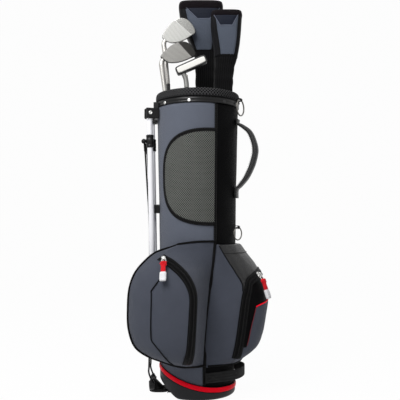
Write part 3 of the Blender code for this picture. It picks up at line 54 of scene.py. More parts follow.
def addNode(tree, kind, settings=None, **inputs):
    # inputs are sockets or values, by name or as i0, i1 by number
    node = tree.nodes.new("ShaderNode" + kind)
    for key, value in (settings or {}).items():
        setattr(node, key, value)
    for key, value in inputs.items():
        socket = node.inputs[int(key[1:]) if key[1:].isdigit() else key.replace("_", " ")]
        if isinstance(value, bpy.types.NodeSocket):
            tree.links.new(value, socket)
        else:
            socket.default_value = value
    return node


def mathNode(tree, operation, a, b=None):
    inputs = {"i0": a} if b is None else {"i0": a, "i1": b}
    return addNode(tree, "Math", {"operation": operation}, **inputs).outputs[0]


def whiteRays(tree):
    # one where a ray comes from the camera, a gloss or a glass
    path = addNode(tree, "LightPath").outputs
    seen = mathNode(tree, "MAXIMUM", path["Is Camera Ray"], path["Is Glossy Ray"])
    return mathNode(tree, "MAXIMUM", seen, path["Is Transmission Ray"])


def setShot():
    scene = bpy.context.scene
    scene.view_settings.view_transform = "Standard"
    cameraData = bpy.data.cameras.new("camera")
    cameraData.lens, cameraData.sensor_width = shot["lens"], 36
    camera = bpy.data.objects.new("camera", cameraData)
    camera.location = shot["eye"]
    camera.rotation_euler = (math.radians(90 + shot["tiltDeg"]), 0, 0)
    scene.collection.objects.link(camera)
    scene.camera = camera
    for name, (place, turnDeg, size, power) in shot["lamps"].items():
        lampData = bpy.data.lights.new(name, "AREA")
        lampData.size, lampData.energy = size, power
        lamp = bpy.data.objects.new(name, lampData)
        lamp.location = place
        lamp.rotation_euler = [math.radians(a) for a in turnDeg]
        scene.collection.objects.link(lamp)
    scene.world = bpy.data.worlds.new("studio")
    scene.world.use_nodes = True
    tree = scene.world.node_tree
    back = tree.nodes["Background"]
    # the room lights softly, and is white where it is seen
    strength = addNode(tree, "MapRange", Value=whiteRays(tree), To_Min=shot["worldLight"], To_Max=1.0)
    tree.links.new(strength.outputs["Result"], back.inputs["Strength"])
    back.inputs["Color"].default_value = (1, 1, 1, 1)


setShot()
print("camera and lamps set")

# shapes

upright = np.array([0, 0, 1.0])


def smoothAt(rows, params, closed=False):
    # Catmull-Rom: between rows b and c the curve leaves b along half of c minus a, and meets c likewise
    rows = np.asarray(rows, float)
    params = np.asarray(params, float)
    number = len(rows)
    if not closed:
        rows = np.concatenate([[2 * rows[0] - rows[1]], rows, [2 * rows[-1] - rows[-2]]])
    start = np.clip(np.floor(params).astype(int), 0, number - (1 if closed else 2))
    t = (params - start).reshape((-1,) + (1,) * (rows.ndim - 1))
    a, b, c, d = (rows[(start + k - 1) % number if closed else start + k] for k in range(4))
    return b + 0.5 * t * (c - a + t * (2 * a - 5 * b + 4 * c - d + t * (3 * (b - c) + d - a)))


def smoothCurve(rows, count, closed=False):
    # that curve at even steps from the first row to the last
    last = len(rows) if closed else len(rows) - 1
    return smoothAt(rows, np.linspace(0, last, count, endpoint=not closed), closed)


def unit(vectors):
    # each vector over its own length
    return vectors / np.maximum(np.linalg.norm(vectors, axis=-1, keepdims=True), 1e-12)


def levelOut(points):
    # the level direction from the upright axis to each point
    return unit(points * np.array([1, 1, 0]))


def netPoint(net, columns, rows):
    # surface through a net of rows and columns: Catmull-Rom weights of four rows times those of four columns
    def weights(params, number):
        start = np.clip(np.floor(params).astype(int), 0, number - 2)
        t = (params - start)[..., None]
        curves = (-t + 2 * t**2 - t**3, 2 - 5 * t**2 + 3 * t**3, t + 4 * t**2 - 3 * t**3, t**3 - t**2)
        return start, 0.5 * np.concatenate(curves, axis=-1)

    columns, rows = np.broadcast_arrays(np.asarray(columns, float), np.asarray(rows, float))
    net = np.concatenate([[2 * net[0] - net[1]], net, [2 * net[-1] - net[-2]]])
    net = np.concatenate([2 * net[:, :1] - net[:, 1:2], net, 2 * net[:, -1:] - net[:, -2:-1]], axis=1)
    i, byRow = weights(rows, net.shape[0] - 2)
    j, byColumn = weights(columns, net.shape[1] - 2)
    near = net[i[..., None, None] + np.arange(4)[:, None], j[..., None, None] + np.arange(4)]
    return np.einsum("...a,...b,...abk->...k", byRow, byColumn, near)


def netFrame(net, columns, rows, out=1.0):
    # points of the surface, their slopes by column and by row, and the outward normal
    step = 1e-3
    columns, rows = np.asarray(columns, float), np.asarray(rows, float)
    here = netPoint(net, columns, rows)
    byColumn = (netPoint(net, columns + step, rows) - here) / step
    byRow = (netPoint(net, columns, rows + step) - here) / step
    return here, byColumn, byRow, unit(np.cross(byColumn, byRow)) * out


def fullTurn(count):
    # even angles round a circle, the first one not repeated
    return np.linspace(0, 2 * np.pi, count, endpoint=False)


def signedPower(values, power):
    # the size of each value to a power, with its sign: below one it squares a circle's corners
    return np.sign(values) * np.abs(values) ** power


def circle(radius, count):
    # the radius times the cosine and the sine of each angle
    angle = fullTurn(count)
    return np.column_stack([radius * np.cos(angle), radius * np.sin(angle)])


def roundedBar(width, thick, steps=20, power=3.2):
    # rounded rectangle about the origin: a superellipse
    angle = fullTurn(steps)
    wide, high = (signedPower(side, 2 / power) for side in (np.cos(angle), np.sin(angle)))
    return np.column_stack([width / 2 * wide, thick / 2 * high])


def slopes(path, closed=False):
    # direction of a path at each point, from the points before and after it
    if closed:
        return unit(np.roll(path, -1, axis=0) - np.roll(path, 1, axis=0))
    return unit(np.gradient(path, axis=0))


def runOf(path):
    # distance along a path at each of its points
    return np.concatenate([[0], np.cumsum(np.linalg.norm(np.diff(path, axis=0), axis=1))])


def atRun(values, run, at):
    # what a path's points hold, at given distances along it
    return np.stack([np.interp(at, run, values[:, k]) for k in range(3)], axis=-1)


def carry(path, normals, profile, closed=False, scale=None):
    # a profile carried along a path: its first number goes sideways, its second along the normal
    path = np.asarray(path, float)
    along = slopes(path, closed)
    normals = np.broadcast_to(np.asarray(normals, float), path.shape)
    normals = unit(normals - along * np.sum(normals * along, axis=1, keepdims=True))
    side = np.cross(along, normals)
    size = np.ones(len(path)) if scale is None else np.asarray(scale, float)
    flat = profile[None, :, 0, None] * side[:, None] + profile[None, :, 1, None] * normals[:, None]
    return path[:, None] + flat * size[:, None, None]


def turned(profile, steps, centre=(0, 0, 0)):
    # a profile of (radius, height) turned about the upright axis through centre
    profile = np.asarray(profile, float)
    angle = fullTurn(steps)
    x, y = profile[:, None, 0] * np.cos(angle), profile[:, None, 0] * np.sin(angle)
    z = np.broadcast_to(profile[:, None, 1], x.shape)
    return np.stack([x, y, z], axis=-1) + np.asarray(centre, float)


def aimed(points, start, along, reference=(0, 1, 0)):
    # points drawn about an upright axis, carried onto an axis that starts elsewhere
    along = unit(np.asarray(along, float))
    side = unit(np.cross(np.asarray(reference, float), along))
    front = np.cross(along, side)
    return np.asarray(start, float) + points @ np.array([side, front, along])


def cloudNoise(points, size, seed=0.0):
    # three crossed sine waves at unlike angles: a soft roll with no repeat that shows
    p = np.asarray(points, float) / size + seed
    x, y, z = p[..., 0], p[..., 1], p[..., 2]
    first = np.sin(2.1 * x + 1.3 * np.sin(1.7 * z + seed)) * np.cos(1.9 * y + 0.7 * z)
    second = np.sin(1.3 * z + 2.3 * np.cos(1.1 * x - 0.6 * y))
    return 0.6 * first + 0.4 * second


def metricUv(grid, wrapColumns, wrapRows):
    # distances along the rows and columns, in metres, so that a weave keeps its size
    wide = np.concatenate([grid, grid[:, :1]], axis=1) if wrapColumns else grid
    wide = np.concatenate([wide, wide[:1]], axis=0) if wrapRows else wide
    u = np.linalg.norm(np.diff(wide, axis=1), axis=2).mean(axis=0)
    v = np.linalg.norm(np.diff(wide, axis=0), axis=2).mean(axis=1)
    u, v = np.concatenate([[0], np.cumsum(u)]), np.concatenate([[0], np.cumsum(v)])
    return np.stack(np.broadcast_arrays(u[None, :] - u.mean(), v[:, None]), axis=-1)


def volumeInside(grid, wrapRows=False):
    # six times the volume in a closed grid, from the triple products of its triangles:
    # below zero when its faces look inwards
    grid = grid - grid.mean(axis=(0, 1))
    beside = np.roll(grid, -1, axis=1)
    above, across = (np.roll(g, -1, axis=0) for g in (grid, beside))
    kept = slice(None) if wrapRows else slice(-1)
    triples = [(grid[kept], beside[kept], across[kept]), (grid[kept], across[kept], above[kept])]
    if not wrapRows:
        triples += [(beside[0], grid[0], grid[0].mean(axis=0)), (grid[-1], beside[-1], grid[-1].mean(axis=0))]
    return sum(np.sum(a * np.cross(b, np.broadcast_to(c, b.shape))) for a, b, c in triples)


def quadCorners(rows, columns, wrapColumns=False, wrapRows=False):
    # row and column of the four corners of each quad between the grid's points
    i = np.arange(rows if wrapRows else rows - 1)[:, None]
    j = np.arange(columns if wrapColumns else columns - 1)[None, :]
    return [(i, j), (i, j + 1), (i + 1, j + 1), (i + 1, j)]


def quadFaces(corners, rows, columns):
    return np.stack([(a % rows) * columns + b % columns for a, b in corners], axis=-1).reshape(-1, 4)


def smoothMesh(name, points, faces, finish):
    mesh = bpy.data.meshes.new(name)
    mesh.from_pydata(points.reshape(-1, 3).tolist(), [], faces)
    mesh.polygons.foreach_set("use_smooth", np.ones(len(mesh.polygons), bool))
    mesh.materials.append(finish)
    mesh.update()
    piece = bpy.data.objects.new(name, mesh)
    bpy.context.scene.collection.objects.link(piece)
    return piece


def attach(piece, body, nodes=()):
    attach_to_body(piece, body)
    if nodes:
        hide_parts(*nodes)
    return piece


def surface(name, grid, finish, body, wrapColumns=False, wrapRows=False, caps=(False, False), nodes=(),
            flip=False):
    # a mesh through a grid of points: quads between rows and columns, and a fan over each open end asked for;
    # a closed one is turned to look outwards
    grid = np.asarray(grid, float)
    if wrapColumns and (wrapRows or all(caps)):
        flip = volumeInside(grid, wrapRows) < 0
    if flip:
        grid = grid[:, ::-1]
    rows, columns = grid.shape[:2]
    uvGrid = metricUv(grid, wrapColumns, wrapRows)
    corners = quadCorners(rows, columns, wrapColumns, wrapRows)
    faces = quadFaces(corners, rows, columns).tolist()
    uv = [np.stack([uvGrid[a, b] for a, b in corners], axis=-2).reshape(-1, 2)]
    points = grid.reshape(-1, 3)
    for end, row in enumerate((0, rows - 1)):
        if caps[end]:
            ring = row * columns + np.arange(columns)
            after, pole = np.roll(ring, -1), np.full(columns, len(points))
            points = np.concatenate([points, points[ring].mean(axis=0)[None]])
            fan = np.stack([after, ring, pole] if end == 0 else [ring, after, pole], axis=-1)
            faces += fan.tolist()
            uv.append((points[:, :2] - points[-1, :2])[fan].reshape(-1, 2))
    piece = smoothMesh(name, points, faces, finish)
    layer = piece.data.uv_layers.new(name="UVMap")
    layer.data.foreach_set("uv", np.concatenate(uv).astype(np.float32).ravel())
    return attach(piece, body, nodes)


def solid(name, grid, finish, body, slot, *nodes):
    # rings from end to end, closed at both ends
    return surface(name, grid, finish, body, True, caps=(True, True), nodes=nodes)


def hoop(name, grid, finish, body, slot, *nodes):
    # rings joined from the last to the first
    return surface(name, grid, finish, body, True, True, nodes=nodes)


def addWall(piece, thickness):
    # cloth thickness, laid inwards from the surface
    wall = piece.modifiers.new("wall", "SOLIDIFY")
    wall.thickness = thickness
    wall.offset = -1.0
    return piece


def tube(name, path, radius, finish, body, slot, nodes=(), count=10, closed=False, up=(0.13, 0.31, 0.94)):
    # a round bar along a path
    make = hoop if closed else solid
    return make(name, carry(path, up, circle(radius, count), closed), finish, body, slot, *nodes)


def manyPieces(name, grids, finish, body):
    # many small copies of a closed grid in one mesh, such as stitches or zip teeth
    grids = np.asarray(grids, float)
    if volumeInside(grids[0]) < 0:
        grids = grids[:, :, ::-1]
    number, rows, columns = grids.shape[:3]
    one = quadFaces(quadCorners(rows, columns, True), rows, columns)
    shift = (np.arange(number) * rows * columns)[:, None, None]
    faces = (one[None] + shift).reshape(-1, 4).tolist()
    for ring in (np.arange(columns)[::-1], (rows - 1) * columns + np.arange(columns)):
        faces += (ring[None] + shift[:, :, 0]).tolist()
    return attach(smoothMesh(name, grids, faces, finish), body)


def stitches(name, path, normals, body="bag", finish=None, pitch=0.0042, length=0.0029,
             radius=0.00042):
    # short thread ends laid along a seam, evenly spaced by distance along it, in black unless a finish is given
    path = np.asarray(path, float)
    normals = np.broadcast_to(np.asarray(normals, float), path.shape)
    run = runOf(path)
    at = np.arange(0.5 * pitch, run[-1] - length, pitch)[:, None] + np.linspace(0, 1, 4)[None] * length
    places, lift = atRun(path, run, at), unit(atRun(normals, run, at))
    along = unit(places[:, -1] - places[:, 0])[:, None]
    side = np.cross(np.broadcast_to(along, lift.shape), lift)
    ring = circle(1.0, 5)
    thin = radius * np.array([0.45, 1.0, 1.0, 0.45])
    centre = places + lift * (radius * np.array([-0.3, 0.5, 0.5, -0.3]))[None, :, None]
    offset = ring[None, None, :, 0, None] * side[:, :, None] + ring[None, None, :, 1, None] * lift[:, :, None]
    return manyPieces(name, centre[:, :, None] + offset * thin[None, :, None, None], finish or threadBlack, body)


def sewnBox(corners):
    # a box walked round with a cross in it, for a run of stitches: corners in order
    order = (0, 1, 2, 3, 0, 2, 1, 3)
    return [(corners[a], corners[b]) for a, b in zip(order[:-1], order[1:])]


# finishes


def smoothStep(tree, value, low, high):
    node = addNode(tree, "MapRange", {"interpolation_type": "SMOOTHSTEP"}, Value=value, From_Min=low, From_Max=high)
    return node.outputs["Result"]


def mixColour(tree, share, first, second):
    node = addNode(tree, "Mix", {"data_type": "RGBA"}, Factor=share)
    colours = [s for s in node.inputs if s.type == "RGBA"]
    for socket, value in zip(colours, (first, second)):
        if isinstance(value, bpy.types.NodeSocket):
            tree.links.new(value, socket)
        else:
            socket.default_value = (*value[:3], 1)
    return [s for s in node.outputs if s.type == "RGBA"][0]


def srgb(red, green, blue):
    # screen values 0 to 255 as the linear values that the shader takes
    values = np.array([red, green, blue]) / 255
    return np.where(values <= 0.04045, values / 12.92, ((values + 0.055) / 1.055) ** 2.4)


def startFinish(name, roughness, metallic=0.0, sheen=0.0, coat=0.0, specular=0.5):
    material = bpy.data.materials.new(name)
    material.use_nodes = True
    tree = material.node_tree
    shader = tree.nodes["Principled BSDF"]
    values = {
        "Roughness": roughness, "Metallic": metallic, "Sheen Weight": sheen, "Sheen Roughness": 0.4,
        "Coat Weight": coat, "Coat Roughness": 0.15, "Specular IOR Level": specular,
    }
    for key, value in values.items():
        shader.inputs[key].default_value = value
    return material, tree, shader


def objectPlace(tree):
    return addNode(tree, "TexCoord").outputs["Object"]


def cloudTone(tree, size):
    # slow change of tone over the piece, from 0 to 1
    noise = addNode(tree, "TexNoise", Vector=objectPlace(tree), Scale=1 / size, Detail=4.0, Roughness=0.6)
    return noise.outputs["Fac"]


def drawnNoise(tree, stretch, scale, detail):
    # noise drawn out along one direction, as fine scratches
    drawn = addNode(tree, "Mapping", Vector=objectPlace(tree), Scale=stretch).outputs["Vector"]
    return addNode(tree, "TexNoise", Vector=drawn, Scale=scale, Detail=detail).outputs["Fac"]


def setColour(tree, shader, colour):
    tree.links.new(colour, shader.inputs["Base Color"])


def setGloss(tree, shader, value, low, high):
    gloss = addNode(tree, "MapRange", Value=value, To_Min=low, To_Max=high)
    tree.links.new(gloss.outputs["Result"], shader.inputs["Roughness"])


def setBump(tree, shader, height, depth):
    bump = addNode(tree, "Bump", Height=height, Distance=depth, Strength=1.0)
    tree.links.new(bump.outputs["Normal"], shader.inputs["Normal"])


def uvAxes(tree):
    parts = addNode(tree, "SeparateXYZ", Vector=addNode(tree, "TexCoord").outputs["UV"])
    return parts.outputs["X"], parts.outputs["Y"]


def wave(tree, value, period):
    # a sine of that period in metres, between -1 and 1
    return mathNode(tree, "SINE", mathNode(tree, "MULTIPLY", value, 2 * math.pi / period))


def spreadTone(tree, share, colour, spread):
    return mixColour(tree, share, colour * (1 - spread), np.minimum(colour * (1 + spread), 1))


def wovenCloth(name, colour, roughness=0.78, period=0.0013, spread=0.16, thread=0.10, sheen=0.10, specular=0.25):
    # plain weave: the product of a wave along the warp and one along the weft, over a slow change of tone; the thread
    # crowns are painted lighter and the gaps darker, as the weave's light and shade
    material, tree, shader = startFinish(name, roughness, sheen=sheen, specular=specular)
    u, v = uvAxes(tree)
    threads = mathNode(tree, "MULTIPLY", wave(tree, u, period), wave(tree, v, period))
    tone = spreadTone(tree, cloudTone(tree, 0.035), colour, spread)
    crown = smoothStep(tree, threads, -0.9, 0.9)
    threadLightAndShade = mixColour(tree, crown, colour * (1 - 2.2 * thread), colour * (1 + 1.4 * thread))
    setColour(tree, shader, mixColour(tree, 0.5, tone, threadLightAndShade))
    setBump(tree, shader, threads, 0.00016)
    return material


def meshCloth(name, thread, hole, wide, tall, edge=(0.30, 0.62), specular=0.1):
    # open diamond mesh: two sets of slanting threads, with a dark hole between them
    material, tree, shader = startFinish(name, 0.6, specular=specular)
    u, v = uvAxes(tree)
    across, up = mathNode(tree, "MULTIPLY", u, math.pi / wide), mathNode(tree, "MULTIPLY", v, math.pi / tall)
    slants = [mathNode(tree, "SINE", mathNode(tree, way, across, up)) for way in ("ADD", "SUBTRACT")]
    gap = mathNode(tree, "MULTIPLY", *[mathNode(tree, "ABSOLUTE", slant) for slant in slants])
    opening = smoothStep(tree, gap, *edge)
    tone = mixColour(tree, cloudTone(tree, 0.03), thread * 0.85, thread * 1.12)
    setColour(tree, shader, mixColour(tree, opening, tone, hole))
    setBump(tree, shader, mathNode(tree, "SUBTRACT", 1.0, opening), 0.0005)
    return material


def grainFinish(name, colour, roughness, grain=0.0012, depth=0.0001, spread=0.12, metallic=0.0, coat=0.0,
                specular=0.5, cells=False):
    # moulded, leathery or rubber grain: noise or cells at a millimetre scale, with a slow change of tone and gloss
    material, tree, shader = startFinish(name, roughness, metallic, coat=coat, specular=specular)
    cloud = cloudTone(tree, 0.03)
    setColour(tree, shader, spreadTone(tree, cloud, colour, spread))
    setGloss(tree, shader, cloud, roughness - 0.06, min(roughness + 0.08, 1))
    if cells:
        kind = {"feature": "DISTANCE_TO_EDGE"}
        texture = addNode(tree, "TexVoronoi", kind, Vector=objectPlace(tree), Scale=1 / grain)
        height = smoothStep(tree, texture.outputs["Distance"], 0.0, 0.25)
    else:
        height = addNode(tree, "TexNoise", Vector=objectPlace(tree), Scale=1 / grain, Detail=3.0).outputs["Fac"]
    setBump(tree, shader, height, depth)
    return material


def brushedMetal(name, colour, roughness, stretch=(40, 900, 40)):
    # fine scratches in the gloss, and a little in the surface
    material, tree, shader = startFinish(name, roughness, 1.0)
    noise = drawnNoise(tree, stretch, 6.0, 3.0)
    setGloss(tree, shader, noise, max(roughness - 0.10, 0.05), roughness + 0.12)
    setColour(tree, shader, mixColour(tree, noise, colour * 0.88, np.minimum(colour * 1.08, 1)))
    setBump(tree, shader, noise, 0.00003)
    return material


def ribbedKnit(name, colour, rib=0.0052, stitch=0.0030):
    # rib knit: rounded ribs across, and a row of small loops up each rib; the ribs are painted lighter and the hollows
    # between them darker, as their light and shade
    material, tree, shader = startFinish(name, 0.85, sheen=0.04, specular=0.08)
    u, v = uvAxes(tree)
    ribs = mathNode(tree, "ABSOLUTE", wave(tree, u, 2 * rib))
    slant = mathNode(tree, "ADD", v, mathNode(tree, "MULTIPLY", ribs, stitch * 0.5))
    loops = mathNode(tree, "ABSOLUTE", wave(tree, slant, 2 * stitch))
    height = mathNode(tree, "ADD", ribs, mathNode(tree, "MULTIPLY", loops, 0.25))
    setColour(tree, shader, mixColour(tree, smoothStep(tree, height, 0.1, 1.0), colour * 0.45, colour * 1.25))
    setBump(tree, shader, height, 0.0011)
    return material


def webbing(name, colour, pick=0.0021):
    # woven tape: slanting picks that change side along the middle of each band, painted lighter on their crowns and
    # darker between them, as their light and shade
    material, tree, shader = startFinish(name, 0.72, sheen=0.06, specular=0.16)
    u, v = uvAxes(tree)
    picks = wave(tree, mathNode(tree, "ADD", v, mathNode(tree, "PINGPONG", u, pick * 1.6)), pick)
    setColour(tree, shader, mixColour(tree, smoothStep(tree, picks, -0.8, 0.8), colour * 0.6, colour * 1.3))
    setBump(tree, shader, picks, 0.00035)
    return material


def scoredFace(name, colour, tiltDeg, plainShadeShare, pitch=0.0030, line=0.0006):
    # milled face: straight scoring lines along the blade where the piece's score mask is one, polished steel elsewhere;
    # the polished steel is painted darker by a share, as painted shade and dark reflection, and the cut lines are
    # painted darker as the shade in the grooves
    material, tree, shader = startFinish(name, 0.34, 1.0)
    tilt = (0, math.radians(tiltDeg), 0)
    tilted = addNode(tree, "Mapping", Vector=objectPlace(tree), Rotation=tilt).outputs["Vector"]
    near = mathNode(tree, "PINGPONG", addNode(tree, "SeparateXYZ", Vector=tilted).outputs["Z"], pitch / 2)
    mask = addNode(tree, "Attribute", {"attribute_name": "score"}).outputs["Fac"]
    cut = mathNode(tree, "SUBTRACT", 1.0, smoothStep(tree, near, line * 0.5, line))
    cut = mathNode(tree, "MULTIPLY", cut, mask)
    noise = drawnNoise(tree, (60, 60, 1400), 3.0, 2.0)
    plain = mixColour(tree, noise, colour * plainShadeShare * 0.92, colour * plainShadeShare * 1.06)
    setColour(tree, shader, mixColour(tree, cut, mixColour(tree, mask, plain, colour), colour * 0.4))
    setGloss(tree, shader, mask, 0.22, 0.50)
    setBump(tree, shader, mathNode(tree, "SUBTRACT", mathNode(tree, "MULTIPLY", noise, 0.1), cut), 0.0002)
    return material


# cloths: colour, roughness, period, spread of tone, thread (the weave's painted light and shade), sheen
greyCloth = wovenCloth("greyCloth", srgb(90, 95, 107))
# the pockets' cloth is the tube's grey, painted darker as the shade lower on the bag
shadedPocketCloth = wovenCloth("shadedPocketCloth", srgb(66, 70, 81))
blackCloth = wovenCloth("blackCloth", srgb(5, 5, 6), 0.5, 0.0015, 0.2, 0.16, 0.0, specular=0.035)
pipingCloth = wovenCloth("pipingCloth", srgb(13, 13, 14), 0.55, 0.0011, 0.2, 0.2, 0.0, specular=0.06)
tapeCloth = wovenCloth("tapeCloth", srgb(9, 9, 10), 0.42, 0.0009, 0.2, 0.25, 0.0, specular=0.05)
redCloth = wovenCloth("redCloth", srgb(214, 10, 28), 0.7, 0.0012, 0.1, 0.12, 0.1)
coverGrey = wovenCloth("coverGrey", srgb(72, 79, 92), 0.62, 0.0012, 0.14, 0.10, 0.04)
badgeEdge = wovenCloth("badgeEdge", srgb(92, 97, 112), 0.7, 0.0010, 0.1, 0.15, 0.1)
bandCloth = wovenCloth("bandCloth", srgb(14, 9, 13), 0.5, 0.0012, 0.2, 0.2, 0.0, specular=0.04)
pocketMesh = meshCloth("pocketMesh", srgb(104, 106, 102), srgb(22, 24, 24), 0.0050, 0.0058)
padMesh = meshCloth("padMesh", srgb(70, 70, 71), srgb(2, 2, 3), 0.0068, 0.0074, (0.26, 0.46), specular=0.02)
sockKnit = ribbedKnit("sockKnit", srgb(10, 10, 11))
strapWeb = webbing("strapWeb", srgb(17, 17, 18))
# coated, moulded and painted: colour, roughness, grain, depth, spread of tone
coatedCloth = grainFinish("coatedCloth", srgb(20, 20, 21), 0.34, 0.0021, 0.00022, 0.15, specular=0.3, cells=True)
coverBlack = grainFinish("coverBlack", srgb(11, 11, 14), 0.4, 0.0019, 0.0002, 0.15, specular=0.06, cells=True)
badgeCloth = grainFinish("badgeCloth", srgb(21, 25, 36), 0.4, 0.0016, 0.00014, 0.2, specular=0.07, cells=True)
gripRubber = grainFinish("gripRubber", srgb(20, 20, 20), 0.78, 0.0018, 0.0004, cells=True)
blackRubber = grainFinish("blackRubber", srgb(14, 14, 14), 0.6, 0.0008, 0.00014, specular=0.14)
paleRubber = grainFinish("paleRubber", srgb(216, 216, 219), 0.55, 0.0012, 0.0001, 0.07)
blackPlastic = grainFinish("blackPlastic", srgb(16, 16, 17), 0.36, 0.0009, 0.00008, specular=0.2)
bandPlastic = grainFinish("bandPlastic", srgb(12, 12, 13), 0.32, 0.0010, 0.00007, specular=0.22)
bootPlastic = grainFinish("bootPlastic", srgb(27, 28, 30), 0.45, 0.0011, 0.00014, specular=0.2)
redTrim = grainFinish("redTrim", srgb(250, 3, 36), 0.40, 0.0016, 0.00005, 0.06, specular=0.08)
# the red trim painted dark red, as painted shade on the thin red line down the ball pocket
shadedRedLine = grainFinish("shadedRedLine", srgb(112, 22, 36), 0.5, 0.0016, 0.00005, 0.1, specular=0.3)
threadBlack = grainFinish("threadBlack", srgb(24, 24, 25), 0.7, 0.0006, 0.00008)
whiteEnamel = grainFinish("whiteEnamel", srgb(238, 238, 242), 0.3, 0.004, 0.00003, 0.03, coat=0.25)
insertFace = grainFinish("insertFace", srgb(224, 223, 218), 0.5, 0.0012, 0.00012, 0.04)
putterBlack = grainFinish("putterBlack", srgb(40, 40, 40), 0.4, 0.0010, 0.00006, metallic=0.3)
# a rivet painted near black, as painted shade in place of its bright reflection
shadedRivet = grainFinish("shadedRivet", srgb(30, 30, 32), 0.34, 0.0012, 0.00004, specular=0.3)
rodSteel = grainFinish("rodSteel", srgb(13, 13, 14), 0.36, 0.0012, 0.00004, specular=0.2)
# bare metal: colour, roughness, stretch of the scratches
steel = brushedMetal("steel", srgb(198, 198, 196), 0.30)
ringSteel = brushedMetal("ringSteel", srgb(112, 110, 106), 0.28)
shaftSteel = brushedMetal("shaftSteel", srgb(184, 181, 170), 0.30, (900, 900, 60))
ironSteel = brushedMetal("ironSteel", srgb(176, 174, 170), 0.36, (60, 60, 900))
darkSteel = brushedMetal("darkSteel", srgb(74, 74, 75), 0.38)
neckSteel = brushedMetal("neckSteel", srgb(122, 122, 120), 0.36, (900, 900, 60))
# the two irons are one steel: the second is a darker copy, painted shade, and each share darkens its polished toe and
# heel as painted shade and reflection
litIronFace = scoredFace("litIronFace", srgb(160, 160, 157), 15, 0.66)
shadedIronFace = scoredFace("shadedIronFace", srgb(128, 127, 124), 8, 0.15)
print("finishes made:", len(bpy.data.materials))


# bag tube

tubeShape = {
    "topZ": 0.6995, "waistZ": 0.37, "footZ": 0.03,
    "topR": 0.1015, "waistR": 0.095, "footR": 0.0905, "wall": 0.003,
    "seamTopDeg": 64.0, "seamFootDeg": 80.0, "seamTopZ": 0.37, "seamFootZ": 0.08,
    "ripple": 0.0007, "rippleSize": 0.055, "sewnIn": 0.0009, "tapeHalf": 0.0036, "tapeThick": 0.0011,
}
baseShape = {
    "radius": 0.0925, "wall": 0.0035, "floor": 0.004, "round": 0.008, "edgeSpine": 0.0215, "edgeLeg": 0.0655,
    "power": 2.3, "trim": 0.0115, "proud": 0.0022, "heelX": -0.047, "heelDeg": 40.0, "heelSoft": 0.0016,
    "middleR": 0.03, "middleDrop": 0.0012, "soleDrop": 0.0008, "soleSlope": -0.004, "bead": 0.0007,
}


def bodyRadius(z):
    # radius of the tube: straight lines from foot to waist to top
    return np.interp(z, *[[tubeShape[place + kind] for place in ("foot", "waist", "top")] for kind in "ZR"])


def seamAngle(z):
    # angle of the side seams from the spine: a straight line between two heights, level beyond them
    share = np.clip((z - tubeShape["seamFootZ"]) / (tubeShape["seamTopZ"] - tubeShape["seamFootZ"]), 0, 1)
    return np.radians(tubeShape["seamFootDeg"] + share * (tubeShape["seamTopDeg"] - tubeShape["seamFootDeg"]))


def baseEdge(angle):
    # height of the base's edge: half of one minus the cosine, to a power, from the spine up to the legs
    share = (1 - np.cos(angle)) / 2
    return baseShape["edgeSpine"] + (baseShape["edgeLeg"] - baseShape["edgeSpine"]) * share ** baseShape["power"]


def onTube(angle, z, out=0.0):
    # the radius at a height, plus a lift, times the cosine and sine of an angle
    radius = bodyRadius(z) + out
    return np.stack(np.broadcast_arrays(radius * np.cos(angle), radius * np.sin(angle), z), axis=-1)


def piping(name, path, radius, up, count=8, closed=False):
    # black cord sewn to the bag
    return tube(name, path, radius, pipingCloth, "bag", "black_cloth", count=count, closed=closed, up=up)


def panel(name, first, last, columns, finish, node):
    # wall of the tube: radius by height, plus a soft ripple, pulled in where it is sewn along both seams
    rows = 90
    share = np.linspace(0, 1, rows)[:, None]
    place = np.linspace(0, 1, columns)[None]
    z = np.broadcast_to(share * 0.66 + 0.03, (rows, columns))
    for _ in range(4):  # the foot of each column settles on the sloping base edge
        angle = first(z) + (last(z) - first(z)) * place
        foot = baseEdge(angle) + baseShape["trim"] / 2 - 0.002
        z = foot + share * (tubeShape["topZ"] - foot)
    flat = onTube(angle, z)
    sewn = np.exp(-np.minimum(place, 1 - place) * columns / 1.6)
    held = np.clip(np.minimum(share, 1 - share) * 14, 0, 1)
    ripple = tubeShape["ripple"]
    out = (ripple * cloudNoise(flat, tubeShape["rippleSize"]) - ripple) * held - tubeShape["sewnIn"] * sewn
    piece = surface(name, onTube(angle, z, out), finish, "bag", nodes=(node,))
    addWall(piece, tubeShape["wall"] - 0.0012)


def seamBinding(side, name):
    # flat tape over a side seam, with a row of stitches along each edge
    z = np.linspace(baseEdge(np.pi / 2) + 0.004, tubeShape["topZ"] - 0.001, 90)
    path = onTube(side * seamAngle(z), z, -0.0004)
    out = levelOut(path)
    half, thick = tubeShape["tapeHalf"], tubeShape["tapeThick"]
    left = [(-half, 0), (-half, thick * 0.7), (-half * 0.6, thick)]
    profile = np.array(left + [(-x, y) for x, y in left[::-1]])
    solid(name, carry(path, out, profile), pipingCloth, "bag", "black_cloth")
    across = np.cross(slopes(path), out)
    for edge in (-1, 1):
        line = path + across * half * 0.62 * edge + out * thick
        stitches(f"{name}Stitch{edge + 1}", line, out)


panel("sidePanel", seamAngle, lambda z: 2 * np.pi - seamAngle(z), 121, greyCloth, "side_panel")
panel("spinePanel", lambda z: -seamAngle(z), seamAngle, 61, blackCloth, "spine_panel")
seamBinding(-1, "nearSeam")
seamBinding(1, "farSeam")
print("tube sewn")

# cuff

cuffShape = {"radius": 0.104, "bore": 0.0935, "band": 0.0135, "pad": 0.0212, "gap": 0.0003, "lip": 0.0012}
bandFoot = tubeShape["topZ"] + cuffShape["gap"]
bandTop = bandFoot + cuffShape["band"]
padFoot = bandTop + cuffShape["gap"]
rivets = {"leanDeg": (-49.0, -11.0, 38.0), "radius": 0.0042, "head": 0.0016, "drop": 0.0022}


